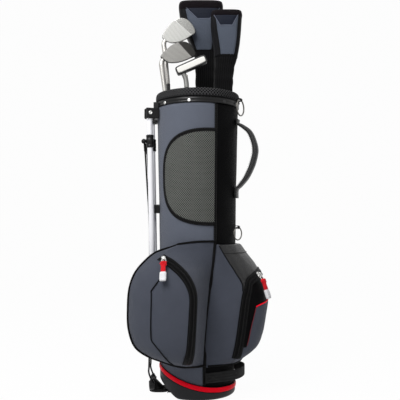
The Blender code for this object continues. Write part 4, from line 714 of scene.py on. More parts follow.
def makeCuff():
    r, bore, lip, high = (cuffShape[key] for key in ("radius", "bore", "lip", "band"))
    # band with a rounded lip at its foot and top, and a groove near each
    band = [
        (bore, bandFoot), (r - lip, bandFoot), (r - 0.0003, bandFoot + 0.0004), (r, bandFoot + lip),
        (r, bandFoot + high * 0.30), (r - 0.0005, bandFoot + high * 0.34), (r, bandFoot + high * 0.38),
        (r, bandFoot + high * 0.84), (r - 0.0005, bandFoot + high * 0.88), (r, bandTop - lip),
        (r - 0.0003, bandTop - 0.0004), (r - lip, bandTop), (bore, bandTop),
    ]
    hoop("cuffBand", turned(band, 160), bandPlastic, "bag", "black_plastic", "cuff_band")
    # padded ring: a squared round section whose outer side rolls softly nine times round the cuff
    wall, half, power = r - bore, cuffShape["pad"] / 2, 2 / 3.0
    turnBy, around = fullTurn(40), fullTurn(180)
    radius = r - wall / 2 + 0.0004 + (wall / 2 + 0.0006) * signedPower(np.cos(turnBy), power)
    height = padFoot + half + half * signedPower(np.sin(turnBy), power)
    ring = radius[None] + 0.0004 * np.sin(around * 9)[:, None] * np.maximum(np.cos(turnBy), 0)[None]
    x, y = ring * np.cos(around)[:, None], ring * np.sin(around)[:, None]
    pad = np.stack([x, y, np.broadcast_to(height, ring.shape)], axis=-1)
    piece = hoop("cuffPad", pad, padMesh, "bag", "black_cloth", "cuff_pad")
    r = r + 0.0007
    seam = np.stack([r * np.cos(around), r * np.sin(around), np.full(180, padFoot + 0.0012)], axis=-1)
    piping("cuffPiping", seam, 0.0013, (0, 0, 1), closed=True)
    for number in range(6):
        makeRivet(number)


def makeRivet(number):
    # domed head with a rolled rim and a dimple, turned about the cuff's outward direction
    side, lean = (-1, 1)[number // 3], rivets["leanDeg"][number % 3]
    angle = side * (math.pi / 2 - math.radians(lean))
    out = np.array([math.cos(angle), math.sin(angle), 0])
    rows = ((0.96, 0), (1, 0.25), (0.93, 0.62), (0.74, 0.92), (0.5, 1), (0.3, 0.86), (0.12, 0.72))
    profile = np.array(rows) * (rivets["radius"], rivets["head"])
    at = out * cuffShape["radius"] + upright * ((bandFoot + bandTop) / 2 - rivets["drop"])
    # the rivets leaning furthest back are painted near black: painted shade, where steel would show a bright reflection
    finish = shadedRivet if lean > 20 else steel
    points = aimed(turned(profile, 28), at, out, (0, 0, 1))
    solid(f"cuffRivet{number + 1}", points, finish, "bag", "steel", f"cuff_rivet_{number + 1}")


makeCuff()
print("cuff made")

# moulded base and its red trim


def heelRise(x):
    # height of the sloping heel plane
    return (baseShape["heelX"] - x) * math.tan(math.radians(baseShape["heelDeg"]))


def floorAt(x):
    # height of the cup's floor, which clears the heel plane
    return np.maximum(baseShape["floor"], heelRise(x) + 0.005)


def makeBase():
    # cup: sole, rounded foot and wall up to the sloping edge, with everything below the heel plane lifted onto it
    r, rounding, wall = baseShape["radius"], baseShape["round"], baseShape["wall"]
    half, soft = baseShape["trim"] / 2, baseShape["heelSoft"]
    angle = fullTurn(144)[None]
    top = baseEdge(angle) - half - 0.0003
    turnBy = np.linspace(0, np.pi / 2, 7)
    sole = np.linspace(0.004, r - rounding, 12)[:-1]
    radii = np.concatenate([sole, r - rounding + rounding * np.sin(turnBy), np.full(6, r)])[:, None]
    share = np.concatenate([np.zeros(18), np.linspace(0, 1, 7)[1:]])[:, None]
    lift = np.concatenate([0 * sole, rounding * (1 - np.cos(turnBy)), np.full(6, rounding)])[:, None]
    z = lift + share * (top - rounding)
    x, y = radii * np.cos(angle), radii * np.sin(angle)
    slope = heelRise(x)
    eased = slope + soft * np.log1p(np.exp(np.clip((z - slope) / soft, -40, 40)))
    z = np.where(z > slope + 4 * soft, z, np.maximum(z, eased))
    # the ease lifts the flat sole a little, which is taken off again
    z = np.where(radii < baseShape["middleR"], np.maximum(z - baseShape["middleDrop"], 0), z)
    flat = len(sole)
    z[:flat] = np.maximum(z[:flat] - baseShape["soleDrop"] * (slope[:flat] < baseShape["soleSlope"]), 0)
    outer = np.stack([x, y, np.minimum(z, top)], axis=-1)
    rimX, rimY = (r - wall) * np.cos(angle), (r - wall) * np.sin(angle)
    rim = np.stack([rimX, rimY, top], axis=-1)
    low = np.stack([rimX, rimY, np.minimum(floorAt(rimX), top - 0.002)], axis=-1)
    floor = low * np.array([0.7, 0.4, 0.06])[:, None, None]
    floor[..., 2] = floorAt(floor[..., 0])
    cup = np.concatenate([outer, rim, low, floor])
    solid("baseBoot", cup, bootPlastic, "bag", "black_plastic", "base_boot")
    # trim: a rounded band carried round the edge, with a bead along both sides
    ring = fullTurn(180)
    path = np.stack([r * np.cos(ring), r * np.sin(ring), baseEdge(ring)], axis=-1)
    out = levelOut(path)
    turnUp = np.linspace(-np.pi / 2, np.pi / 2, 11)
    proud = -0.0006 + (baseShape["proud"] + 0.0006) * np.cos(turnUp) ** 0.6
    profile = np.column_stack([half * signedPower(np.sin(turnUp), 0.75), proud])
    profile = np.concatenate([profile, [(half * 0.92, -wall), (-half * 0.92, -wall)]])
    trim = carry(path, out, profile * np.array([-1, 1]), True)
    hoop("baseTrim", trim, redTrim, "bag", "red_trim", "base_trim")
    for edge in (-1, 1):
        line = path + upright * edge * (half + 0.0004) + out * 0.0004
        tube(f"trimBead{edge + 1}", line, baseShape["bead"], pipingCloth, "bag", "black_plastic",
             closed=True, up=(0, 0, 1), count=6)


makeBase()
print("base made")

# mesh pocket panel on the near side

meshShape = {
    "low": 0.408, "high": 0.640, "leftDeg": 57.5, "power": 2.7, "binding": 0.0095, "flat": (0.168, 0.222),
    # the binding's section: share of its width, and lift
    "section": ((0.0, 0.0002), (0.18, 0.0021), (0.5, 0.0027), (0.82, 0.0021), (1.0, 0.0002)),
}
meshRight = math.pi / 2 - math.radians(tubeShape["seamTopDeg"])


def meshEdge(share, shrink):
    # rounded half outline: a superellipse from the top of the seam, round the left, to its foot
    middle = (meshShape["low"] + meshShape["high"]) / 2
    half = (meshShape["high"] - meshShape["low"]) / 2 - shrink
    reach = meshRight + math.radians(meshShape["leftDeg"]) - shrink / tubeShape["waistR"]
    turnBy = np.pi * (share - 0.5)
    power = 2 / meshShape["power"]
    return meshRight - reach * np.abs(np.cos(turnBy)) ** power, middle - half * signedPower(np.sin(turnBy), power)


def makeMeshPocket():
    right, width = meshRight - 0.003, meshShape["binding"]
    share = 0.5 - 0.4995 * np.cos(np.linspace(0, np.pi, 81))
    edge, z = meshEdge(share, width * 0.6)
    place = np.linspace(0, 1, 40)[None]
    angle = right + (edge[:, None] - right) * place
    z = np.broadcast_to(z[:, None], angle.shape)
    slack = 0.0011 + 0.0008 * np.sin(np.pi * place) * np.sin(np.pi * share)[:, None]
    grid = onTube(angle - np.pi / 2, z, slack)
    piece = surface("meshPanel", grid, pocketMesh, "bag", nodes=("mesh_panel",))
    # the mesh runs straight up, so its map is arc length and height
    loops = np.zeros(len(piece.data.loops), int)
    piece.data.loops.foreach_get("vertex_index", loops)
    flat = np.stack([angle * tubeShape["waistR"], z], axis=-1).reshape(-1, 2)
    piece.data.uv_layers["UVMap"].data.foreach_set("uv", flat[loops].astype(np.float32).ravel())
    addWall(piece, 0.0009)
    rows = []
    for step, lift in meshShape["section"]:
        edge, z = meshEdge(share, width * step)
        rows.append(onTube(np.minimum(edge, right) - np.pi / 2, z, lift))
    binding = np.stack(rows, axis=1)
    surface("meshBinding", binding, pipingCloth, "bag", nodes=("mesh_binding",), flip=True)
    for step in (0.2, 0.8):
        edge, z = meshEdge(share[3:-3], width * step)
        path = onTube(edge - np.pi / 2, z, 0.0022)
        stitches(f"meshStitch{int(step * 10)}", path, levelOut(path))
    z = np.linspace(meshShape["low"] + 0.002, meshShape["high"] - 0.002, 60)
    cord = onTube(np.full(60, right - np.pi / 2 - 0.012), z, 0.0012)
    piping("meshSeamCord", cord, 0.0016, (0.3, -1, 0))


makeMeshPocket()
print("mesh pocket made")

# stand: legs, kick rods, pedal and yoke

legShape = {
    "pivot": (-0.118, 0.040, 0.684), "radius": 0.007, "wall": 0.0012, "length": 0.560, "head": 0.009,
    "leanDeg": 1.3, "splayDeg": 18.0, "footR": 0.010, "foot": 0.045, "plug": 0.018,
    "collarR": 0.0094, "collarDrop": 0.069, "collar": 0.031, "ballR": 0.0062, "ballReach": 0.0135,
    "cheek": 0.0036,
    # radius and height of the pin's rolled head
    "pinHead": ((0.0046, 0), (0.0046, 0.0006), (0.0040, 0.0012), (0.0028, 0.0014), (0.0024, 0.0010), (0.0008, 0.0008)),
}
rodShape = {
    "radius": 0.0021, "y": 0.0290, "topY": 0.0312, "seat": (-0.112, 0.0335), "endR": 0.0040,
    "route": (
        (-0.1185, 0.0530), (-0.1178, 0.0750), (-0.1165, 0.2000), (-0.1178, 0.4000), (-0.1240, 0.5100),
        (-0.1305, 0.6130),
    ),
    "sleeve": (
        (0.0016, -0.010), (0.0026, -0.0094), (0.0028, -0.008), (0.0028, 0.008), (0.0026, 0.0094), (0.0016, 0.010),
    ),
    "sleeveDrop": 0.012,
}


def bothEnds(rows, low, high):
    # a profile from its lower end to its upper one, from rows of radius and distance from either end
    return [(r, low + d) for r, d in rows] + [(r, high - d) for r, d in rows[::-1]]


def legFrame(side):
    # a leg's pivot, its hinge axis and its way up
    pivot = np.array(legShape["pivot"]) * np.array([1, side, 1])
    splay, lean = math.radians(legShape["splayDeg"]), math.radians(legShape["leanDeg"])
    axis = np.array([side * math.sin(splay), math.cos(splay), 0])
    # the leg leans by turning the upright about its hinge axis
    return pivot, axis, upright * math.cos(lean) + np.cross(axis, upright) * math.sin(-lean)


def makeLeg(side, label):
    # profiles of radius and height turned about the leg's line: tube, rubber foot and collar
    tag = label.lower()
    body = f"leg_{tag}"
    pivot, axis, way = legFrame(side)
    r, end, head = legShape["radius"], -legShape["length"], legShape["head"]

    def onLeg(profile):
        return aimed(turned(profile, 32), pivot, way, axis)

    straight = [(r, z) for z in np.linspace(-0.004, end + 0.001, 24)]
    profile = [
        (r * 0.2, head), (r * 0.6, head - 0.0008), (r * 0.88, head - 0.0022), (r, head - 0.0045), *straight,
        (r - 0.0004, end), (r - legShape["wall"], end),
    ]
    solid(f"legTube{label}", onLeg(profile[::-1]), whiteEnamel, body, "white_tube", f"leg_tube_{tag}")
    # foot: a plug inside the tube, a ribbed sleeve and a rounded end
    foot, fr, plugR = legShape["foot"], legShape["footR"], r - legShape["wall"] - 0.0003
    ribs = [(fr * (0.92 + 0.06 * (k % 2)), end - foot * (0.06 + 0.033 * k)) for k in range(9)]
    tip = [(fr * a, end - foot * b) for a, b in ((1, 0.40), (0.97, 0.48), (0.8, 0.56), (0.5, 0.605), (0.1, 0.62))]
    profile = [
        (0.0004, end + legShape["plug"]), (plugR, end + legShape["plug"]), (plugR, end - 0.0003),
        (r * 1.08, end - 0.0003), (fr * 0.90, end - 0.0014), *ribs, *tip,
    ]
    solid(f"legFoot{label}", onLeg(profile[::-1]), blackRubber, body, "black_rubber", f"leg_foot_{tag}")
    cr, drop, half = legShape["collarR"], legShape["collarDrop"], legShape["collar"] / 2
    rows = [
        (r + 0.0002, 0), (cr - 0.0015, 0), (cr - 0.0004, 0.0005), (cr, 0.0016), (cr, 0.006), (cr - 0.0006, 0.0066),
        (cr - 0.0006, 0.0078), (cr, 0.0084),
    ]
    collar = onLeg(bothEnds(rows, -drop - half, -drop + half))
    hoop(f"legCollar{label}", collar, blackPlastic, body, "black_plastic", f"leg_collar_{tag}")
    # ball stud: a waisted neck into a ball, turned about the way it points
    reach, ball = legShape["ballReach"], legShape["ballR"]
    stud = [(ball * 0.75, cr * 0.86), (ball * 0.56, cr * 0.98)]
    stud += [(ball * math.sin(t), reach + ball * math.cos(t)) for t in np.linspace(2.6, 0.05, 14)]
    points = aimed(turned(stud, 24), pivot - upright * drop, (-1, 0, 0), (0, 1, 0))
    solid(f"legBall{label}", points, blackPlastic, body, "black_plastic")
    # pin with a rolled head at both ends of the yoke's cheeks
    half = r + 0.0006 + legShape["cheek"]
    for end in (-1, 1):
        points = aimed(turned(legShape["pinHead"], 24), pivot + axis * end * half, axis * end, (0, 0, 1))
        nodes = (f"leg_pin_{tag}",) if end > 0 else ()
        solid(f"legPin{label}{end + 1}", points, steel, "bag", "steel", *nodes)


def makeRod(side, label):
    # a round rod from its seat up a smooth route that spreads sideways near the top, with a ball and a sleeve
    body = f"rod_{label.lower()}"
    (seatX, seatZ), y, bend = rodShape["seat"], rodShape["y"], rodShape["route"]
    route = smoothCurve([rodShape["seat"], *bend], 90)
    bendZ, topZ = bend[-3][1], bend[-1][1]
    spread = np.maximum(0, (route[:, 1] - bendZ) / (topZ - bendZ)) * (rodShape["topY"] - y)
    path = np.stack([route[:, 0], side * (y + spread), route[:, 1]], axis=-1)
    tube(f"kickRod{label}", path, rodShape["radius"], rodSteel, body, "black_plastic",
         nodes=(f"kick_rod_{label.lower()}",), count=12, up=(1, 0.2, 0))
    r = rodShape["endR"]
    knob = [(r * math.sin(t), r * -math.cos(t)) for t in np.linspace(0.1, 3.04, 14)]
    solid(f"rodKnob{label}", turned(knob, 20, (seatX, side * y, seatZ)), blackPlastic, body, "black_plastic")
    way = slopes(path)[-1]
    sleeve = aimed(turned(rodShape["sleeve"], 18), path[-1] - way * rodShape["sleeveDrop"], way)
    solid(f"rodSleeve{label}", sleeve, blackRubber, body, "black_rubber")


def dress(node, finish):
    # a CAD piece that stays as it is, in a better finish
    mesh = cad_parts[node].data
    mesh.materials.clear()
    mesh.materials.append(finish)


for legSide, legLabel in ((-1, "Near"), (1, "Far")):
    makeLeg(legSide, legLabel)
    makeRod(legSide, legLabel)
dress("leg_yoke", blackPlastic)
dress("leg_keeper", blackPlastic)
dress("pedal_pin", steel)
dress("club_divider", blackCloth)

pedalShape = {
    "pin": (-0.0665, 0.0085), "barrelR": 0.0052, "half": 0.0222,
    "padX": (-0.1190, -0.0690), "padZ": (0.0015, 0.0098), "padPower": 2.7, "treads": 4, "treadR": 0.0012,
    # the pad's layers: share of its oval, and height, of which the largest is the pad's top
    "layers": (
        (0.10, 0.0), (0.80, 0.0), (0.93, 0.0004), (0.985, 0.0016), (1.0, 0.0036), (1.0, 0.0058), (0.985, 0.0074),
        (0.95, 0.0083), (0.90, 0.0083), (0.86, 0.0078), (0.82, 0.0070), (0.5, 0.0070), (0.08, 0.0070),
    ),
    # the cradle's route, y and z, from the middle to one end, and its width along x and its thickness
    "cradle": ((0, 0.0070), (0.010, 0.0074), (0.0195, 0.0100), (0.0262, 0.0162), (0.0290, 0.0240), (0.0292, 0.0285)),
    "cradleX": -0.1108, "cradleWide": 0.0146, "cradleThick": 0.0062,
    # the hood between cups and boot: foot and top, its two sides and their lean, its half width, its flutes
    "hoodZ": (0.0085, 0.0330), "hoodX": (-0.1165, -0.0815), "hoodLean": (0.12, -0.95), "hoodHalf": 0.0195,
    "flutes": 9, "fluteDeep": 0.07,
    "cupR": 0.0062, "cupLow": 0.0245, "cupHigh": 0.0322, "cupX": -0.112, "cupY": 0.029,
    # the ears that hold the pin: near and far y, and corners in x and z
    "earY": (0.0229, 0.0288), "earRound": 0.0012,
    "ear": ((-0.0726, 0.0030), (-0.0600, 0.0026), (-0.0600, 0.0278), (-0.0668, 0.0278), (-0.0726, 0.0200)),
}


def makePedal():
    spec = pedalShape
    (low, high), (foot, top), half = spec["padX"], spec["padZ"], spec["half"]
    # pad: rounded ovals drawn in at the sole and the top, with a shallow dish inside a raised rim
    layers = np.array(spec["layers"])
    flat = roundedBar(high - low, 2 * half, 72, spec["padPower"])[None] * layers[:, :1, None]
    z = np.broadcast_to((foot + layers[:, 1] * (top - foot) / layers[:, 1].max())[:, None], flat.shape[:2])
    pad = np.stack([flat[..., 0] + (low + high) / 2, flat[..., 1], z], axis=-1)
    solid("pedalPad", pad, blackRubber, "pedal", "black_rubber", "foot_pedal")
    across = np.linspace(-half * 0.72, half * 0.72, 8)
    for number, x in enumerate(np.linspace(low + 0.022, high - 0.010, spec["treads"])):
        bar = np.stack([np.full(8, x), across, np.full(8, top - 0.0010)], axis=-1)
        tube(f"pedalTread{number}", bar, spec["treadR"], blackRubber, "pedal", "black_rubber", up=(0, 0, 1), count=8)
    # hood: ovals that narrow upwards between two leaning sides and close at the top, with flutes half way up
    angle, rise = fullTurn(72), np.linspace(0, 1, 14)[:, None]
    (hoodFoot, hoodTop), lean = spec["hoodZ"], spec["hoodLean"]
    z = hoodFoot + (hoodTop - hoodFoot) * np.sin(np.pi / 2 * rise)
    left, right = (spec["hoodX"][k] + (z - hoodFoot) * lean[k] for k in (0, 1))
    shrink = np.maximum(np.cos(np.pi / 2 * rise), 0.0) ** 0.4 + 0.02
    flutes = (0.5 + 0.5 * np.cos(spec["flutes"] * angle))[None]
    shrink = shrink * (1 - spec["fluteDeep"] * np.sin(np.pi * rise) * flutes)
    x = (left + right) / 2 + (right - left) / 2 * shrink * np.cos(angle)
    hood = np.stack([x, spec["hoodHalf"] * shrink * np.sin(angle), np.broadcast_to(z, shrink.shape)], axis=-1)
    solid("pedalHood", hood, blackRubber, "pedal", "black_rubber")
    # barrel on the pin, with a groove near each end
    r = spec["barrelR"]
    rows = [(0.0022, 0), (r * 0.86, 0), (r, 0.0010), (r, 0.0050), (r * 0.9, 0.0056), (r * 0.9, 0.0066), (r, 0.0072)]
    barrel = turned(bothEnds(rows, -half, half), 28)
    at = (spec["pin"][0], 0, spec["pin"][1])
    solid("pedalBarrel", aimed(barrel, at, (0, 1, 0), (1, 0, 0)), blackPlastic, "pedal", "black_plastic")
    # cradle: a rounded bar that rises from the pad on both sides to the rods' cups
    cradle = np.array(spec["cradle"])
    route = smoothCurve(np.concatenate([cradle[:0:-1] * np.array([-1, 1]), cradle]), 70)
    path = np.stack([np.full(len(route), spec["cradleX"]), route[:, 0], route[:, 1]], axis=-1)
    narrow = 1 - 0.16 * np.sin(np.linspace(0, np.pi, len(route))) ** 2
    grid = carry(path, (1, 0, 0), roundedBar(spec["cradleThick"], spec["cradleWide"], 28, 3.4), scale=narrow)
    solid("pedalCradle", grid, blackPlastic, "pedal", "black_plastic")
    for side, label in ((-1, "Near"), (1, "Far")):
        r, low, high = spec["cupR"], spec["cupLow"], spec["cupHigh"]
        cup = [
            (0.0008, low), (r * 0.7, low), (r * 0.93, low + 0.0010), (r, low + 0.0026), (r, high - 0.0014),
            (r * 0.96, high - 0.0004), (r * 0.86, high), (r * 0.76, high - 0.0005), (r * 0.72, high - 0.0016),
            (r * 0.62, high - 0.0034), (r * 0.3, high - 0.0048), (0.0004, high - 0.0050),
        ]
        cup = turned(cup, 28, (spec["cupX"], side * spec["cupY"], 0))
        solid(f"pedalCup{label}", cup, blackPlastic, "pedal", "black_plastic")
        makeEar(side, label)


def makeEar(side, label):
    # ear of the boot that holds the pin: a rounded plate from the pin back into the boot
    near, far = (side * y for y in pedalShape["earY"])
    corners, r = np.repeat(np.array(pedalShape["ear"]), 2, axis=0), pedalShape["earRound"]
    plan = smoothCurve(corners + np.tile([[r, 0], [0, r]], (5, 1)) * 0.6, 60, closed=True)
    middle = plan.mean(axis=0)
    rows = [(0.05, 0), (0.92, 0), (0.98, side * 0.0004), (1.0, side * 0.0014)]
    scale, y = np.array(bothEnds(rows, near, far)).T
    shares = middle + (plan - middle)[None] * scale[:, None, None]
    ear = np.stack([shares[..., 0], np.broadcast_to(y[:, None], shares.shape[:2]), shares[..., 1]], axis=-1)
    solid(f"pedalEar{label}", ear, bootPlastic, "bag", "black_plastic")


makePedal()
print("stand made")

# carrying side: handle, rings and base strap

handleShape = {
    "width": 0.026, "endThick": 0.0055, "midThick": 0.0140, "gap": 0.0012, "turnDeg": -17.0, "boxHalf": 0.010,
    "route": (
        (0, 0.670), (0, 0.660), (0.013, 0.652), (0.032, 0.634), (0.0445, 0.596),
        (0.0385, 0.560), (0.0245, 0.528), (0.0085, 0.507), (0, 0.497), (0, 0.476),
    ),
}


def makeHandle():
    # padded band along the route, thickest in the middle, whose sides are rounded and whose ends lie flat
    route = smoothCurve(handleShape["route"], 130)
    share = np.linspace(0, 1, len(route))
    x = bodyRadius(route[:, 1]) + route[:, 0] + handleShape["gap"] + handleShape["endThick"] / 2
    turnBy = math.radians(handleShape["turnDeg"])
    out = np.array([math.cos(turnBy), math.sin(turnBy), 0])
    side = np.array([-math.sin(turnBy), math.cos(turnBy), 0])
    path = x[:, None] * out + route[:, 1:] * upright
    normal = np.cross(slopes(path), side)
    swell = np.sin(np.pi * share) ** 2
    thick = handleShape["endThick"] + (handleShape["midThick"] - handleShape["endThick"]) * swell
    wide = handleShape["width"] * (1 - 0.10 * swell) * np.where(np.abs(share - 0.5) > 0.47, 0.99, 1)
    ring = roundedBar(1.0, 1.0, 36, 2.9)
    high = (thick * (1 + 0.02 * np.sin(share * 60) * swell))[:, None, None]
    grid = path[:, None] + ring[None, :, :1] * wide[:, None, None] * side + ring[None, :, 1:] * high * normal[:, None]
    piece = solid("grabHandle", grid, coatedCloth, "bag", "black_cloth", "grab_handle")
    for edge in (-1, 1):
        line = path + edge * 0.5 * side * (wide * 0.80)[:, None] - normal * (thick * 0.50)[:, None]
        stitches(f"handleStitch{edge + 1}", line[12:-12], -normal[12:-12])
    # sewn anchors: a box of stitches with a cross in it at both ends
    half = side * handleShape["boxHalf"]
    for label, low, high in (("Top", 0, 15), ("Foot", 114, 129)):
        a, b = path[low], path[high]
        box = np.concatenate([np.linspace(p, q, 12) for p, q in sewnBox([a - half, a + half, b + half, b - half])])
        stitches(f"handleBox{label}", box - normal[low] * (thick[low] * 0.52), -normal[low])


makeHandle()

ringShape = {
    "upper": {"top": (0.10552, -0.032462, 0.7185), "r": 0.0195, "wire": 0.0018, "turnDeg": 60.0, "panel": 0.1052},
    "lower": {"top": (0.098512, -0.032962, 0.4045), "r": 0.0155, "wire": 0.0016, "turnDeg": 50.0, "panel": 0.0957},
}
tabShape = {"wide": 0.0084, "thick": 0.0015, "loop": 0.0036, "apart": 0.0034, "sunk": 0.0015}


def makeRing(name):
    # ring: a round wire along an upright circle that hangs from its top
    spec = ringShape[name]
    turnBy = math.radians(spec["turnDeg"])
    level = np.array([math.cos(turnBy), math.sin(turnBy), 0])
    top, face = np.array(spec["top"]), np.cross(level, upright)
    around = fullTurn(72)[:, None]
    path = top - upright * spec["r"] + spec["r"] * (np.cos(around) * level + np.sin(around) * upright)
    tube(f"{name}Ring", path, spec["wire"], ringSteel, f"ring_{name}", "steel", nodes=(f"{name}_ring",),
         closed=True, up=face, count=12)
    # webbing tab: a flat band from the panel, over the ring's wire and back
    away = face * np.sign(np.dot(face, top))
    flat, radius = top * np.array([1, 1, 0]), spec["panel"] - tabShape["sunk"]
    along = float(np.dot(flat, away))
    start = top - away * (along - math.sqrt(radius**2 - float(np.dot(flat, flat)) + along**2))
    bend, loop, apart = np.linspace(np.pi / 2, -np.pi / 2, 15), tabShape["loop"], upright * tabShape["apart"]
    over = top + away * (loop * np.cos(bend))[:, None] + upright * (loop * np.sin(bend))[:, None]
    upper = np.linspace(start + apart, over[0], 8)[:-1]
    lower = np.linspace(over[-1], start - apart, 8)[1:]
    profile = roundedBar(tabShape["wide"], tabShape["thick"], 16, 5)
    grid = carry(np.concatenate([upper, over, lower]), level, profile[:, ::-1])
    solid(f"{name}RingTab", grid, strapWeb, "bag", "black_cloth", f"{name}_ring_tab")


for ringName in ringShape:
    makeRing(ringName)

strapShape = {
    "width": 0.024, "thick": 0.0028, "lift": 0.0012, "sag": 0.0018, "boxHalf": 0.0095,
    # where y is left out, the strap lies on the tube
    "route": (
        (0.018, None, 0.053), (0.034, None, 0.053), (0.050, None, 0.053), (0.071, -0.0665, 0.0535),
        (0.096, -0.0465, 0.0545), (0.110, -0.022, 0.056), (0.114, 0.0, 0.057),
    ),
}


def makeStrap():
    # webbing lying on the tube at both ends and standing off it in a loop between
    count, thick, half = 140, strapShape["thick"], strapShape["boxHalf"]

    def lying(x, z):
        return -math.sqrt((bodyRadius(z) + strapShape["lift"]) ** 2 - x**2)

    near = np.array([(x, lying(x, z) if y is None else y, z) for x, y, z in strapShape["route"]])
    path = smoothCurve(np.concatenate([near, near[-2::-1] * np.array([1, -1, 1])]), count)
    out = np.cross(slopes(path), upright)
    out = out * np.sign(np.sum(out * path, axis=1, keepdims=True))
    sag = -strapShape["sag"] * np.sin(np.linspace(0, np.pi, count)) ** 4
    path = path + sag[:, None] * upright + out * thick / 2
    grid = carry(path, out, roundedBar(strapShape["width"], thick * 0.8, 28, 6))
    solid("baseStrap", grid, strapWeb, "bag", "black_cloth", "base_strap")
    for label, low, high in (("Near", 1, 26), ("Far", 114, 139)):
        box = np.concatenate([
            atRun(path, np.arange(count), np.linspace(i, j, 14)) + np.linspace(u, v, 14)[:, None] * upright
            for (i, u), (j, v) in sewnBox([(low, half), (high, half), (high, -half), (low, -half)])
        ])
        lift = levelOut(box)
        stitches(f"strapBox{label}", box + lift * thick * 0.42, lift)


makeStrap()
print("carrying side made")

# clubs

clubLines = {
    "iron_1": {"rim": (-0.072, 0.0165), "butt": (-0.020, 0.026), "tip": 0.858, "bow": 0.0040},
    "iron_2": {"rim": (-0.080, -0.019), "butt": (-0.022, -0.024), "tip": 0.802, "bow": 0.0040},
    "putter": {"rim": (-0.026, -0.045), "butt": (0.018, -0.050), "tip": 0.778, "bow": 0.0},
    "driver": {"rim": (0.017, 0.058), "butt": (0.022, 0.052), "tip": 0.890, "bow": 0.0},
    "hybrid": {"rim": (0.064, -0.012), "butt": (0.040, -0.005), "tip": 0.868, "bow": 0.0},
}
clubShape = {
    "rimZ": 0.7348, "buttLift": 0.0043, "buttR": 0.011, "tipR": 0.0040, "shaftR": 0.0062, "steps": 7,
    "grip": 0.190, "mouthR": 0.0082, "cap": 0.0043, "bowFoot": 0.02,
}
clubLabels = {"iron_1": "ironOne", "iron_2": "ironTwo", "putter": "putter", "driver": "driver", "hybrid": "hybrid"}


def clubLine(name):
    # a straight line from the butt on the bag's floor through a point of the rim
    club = clubLines[name]
    low, rim = np.array([*club["butt"], 0]), np.array([*club["rim"], clubShape["rimZ"]])
    along = unit(rim - low)
    butt = low + along * (clubShape["buttLift"] + clubShape["buttR"] * np.hypot(along[0], along[1])) / along[2]
    return butt, along, lambda z: butt + along * ((np.asarray(z, float)[..., None] - butt[2]) / along[2])


def bowAt(name, z):
    # how far a shaft bows to the left above the rim
    foot, tip = clubShape["rimZ"] - clubShape["bowFoot"], clubLines[name]["tip"]
    return clubLines[name]["bow"] * np.clip((z - foot) / (tip - foot), 0, 1) ** 1.3


def bladeAxes(tiltDeg):
    # along a tilted head towards its toe, and across it
    tilt = math.radians(tiltDeg)
    return np.array([math.cos(tilt), 0, math.sin(tilt)]), np.array([-math.sin(tilt), 0, math.cos(tilt)])


def makeShaft(name, label):
    butt, along, at = clubLine(name)
    body, steps = f"club_{name}", clubShape["steps"]
    length = float(np.linalg.norm(at(clubLines[name]["tip"]) - butt))
    # stepped steel: the radius falls by a small step at even spaces towards the tip
    heights = np.linspace(clubShape["cap"], length, steps + 1)
    radii = np.linspace(clubShape["shaftR"], clubShape["tipR"], steps + 1)
    profile = [(radii[0] - 0.0009, heights[0])]
    for low, high, r in zip(heights[:-1], heights[1:], radii[:-1]):
        profile += [(r, low + 0.0010), (r, high - 0.0010)]
    profile += [(radii[-1], length - 0.0004), (radii[-1] * 0.6, length)]
    shaft = aimed(turned(profile, 24), butt, along)
    shaft[..., 0] -= bowAt(name, shaft[..., 2])
    solid(f"{label}Shaft", shaft, shaftSteel, body, "steel", f"{name}_shaft")
    # grip: a rounded butt with a groove, a long taper and a rolled mouth
    grip, big, small = clubShape["grip"], clubShape["buttR"], clubShape["mouthR"]
    rows = [
        (0.0030, 0.0), (big * 0.80, 0.0), (big * 0.95, 0.0012), (big, 0.004), (big * 0.99, 0.0062),
        (big * 0.965, 0.0066), (big * 0.965, 0.0072), (big * 0.985, 0.0076),
    ]
    big = big * 0.985
    rows += [(big + (small - big) * t, 0.008 + (grip - 0.022) * t) for t in np.linspace(0, 1, 30)]
    mouth = ((1.03, 0.0132), (1.03, 0.002), (0.98, 0.0006), (0.84, 0))
    rows += [(small * share, grip - drop) for share, drop in mouth]
    solid(f"{label}Grip", aimed(turned(rows, 28), butt, along), gripRubber, body, "black_rubber", f"{name}_grip")


# the blade's outline in shares of its length and height from the heel
bladeOutline = (
    (0.00, 0.22), (0.10, 0.46), (0.35, 0.76), (0.56, 0.87), (0.72, 0.87), (0.88, 0.71), (0.98, 0.42), (1.00, 0.10),
    (0.82, -0.02), (0.62, -0.11), (0.42, -0.14), (0.19, -0.07),
)
# toe and heel are the two lines between which the face is scored
ironShapes = {
    "iron_1": {
        "length": 0.0855, "height": 0.058, "tiltDeg": 15.0, "thick": 0.0115, "hosel": 0.090,
        "shift": (-0.0050, 0, 0.0020), "toe": ((0.49, 0.86), (0.84, 0.08)), "heel": ((-0.04, 0.24), (0.15, -0.06)),
    },
    "iron_2": {
        "length": 0.0870, "height": 0.050, "tiltDeg": 8.0, "thick": 0.0115, "hosel": 0.064,
        "shift": (-0.0042, 0, 0), "toe": ((0.57, 0.80), (0.90, -0.02)), "heel": ((0.01, 0.30), (0.24, -0.16)),
    },
}
hoselShape = {
    "heelRise": 0.014,
    # share of the way, and radius
    "radius": ((0, 0.0050), (0.03, 0.0055), (0.45, 0.0062), (0.62, 0.0062), (0.8, 0.0056), (1.0, 0.0040)),
    # steps into the heel, along the blade and across it
    "heel": ((0.004, 0.005), (0.014, 0.009), (0.026, 0.011)),
    "ferrule": (
        (0.0046, -0.016), (0.0049, -0.014), (0.0052, -0.006), (0.0053, -0.0046), (0.0050, -0.0042), (0.0050, -0.0036),
        (0.0054, -0.0032), (0.0055, 0.0005),
    ),
}


def sideOf(line, u, w):
    # distance to the right of a line through two points, in shares
    (a, b), (c, d) = line
    return ((c - a) * (w - b) - (d - b) * (u - a)) / np.hypot(c - a, d - b)


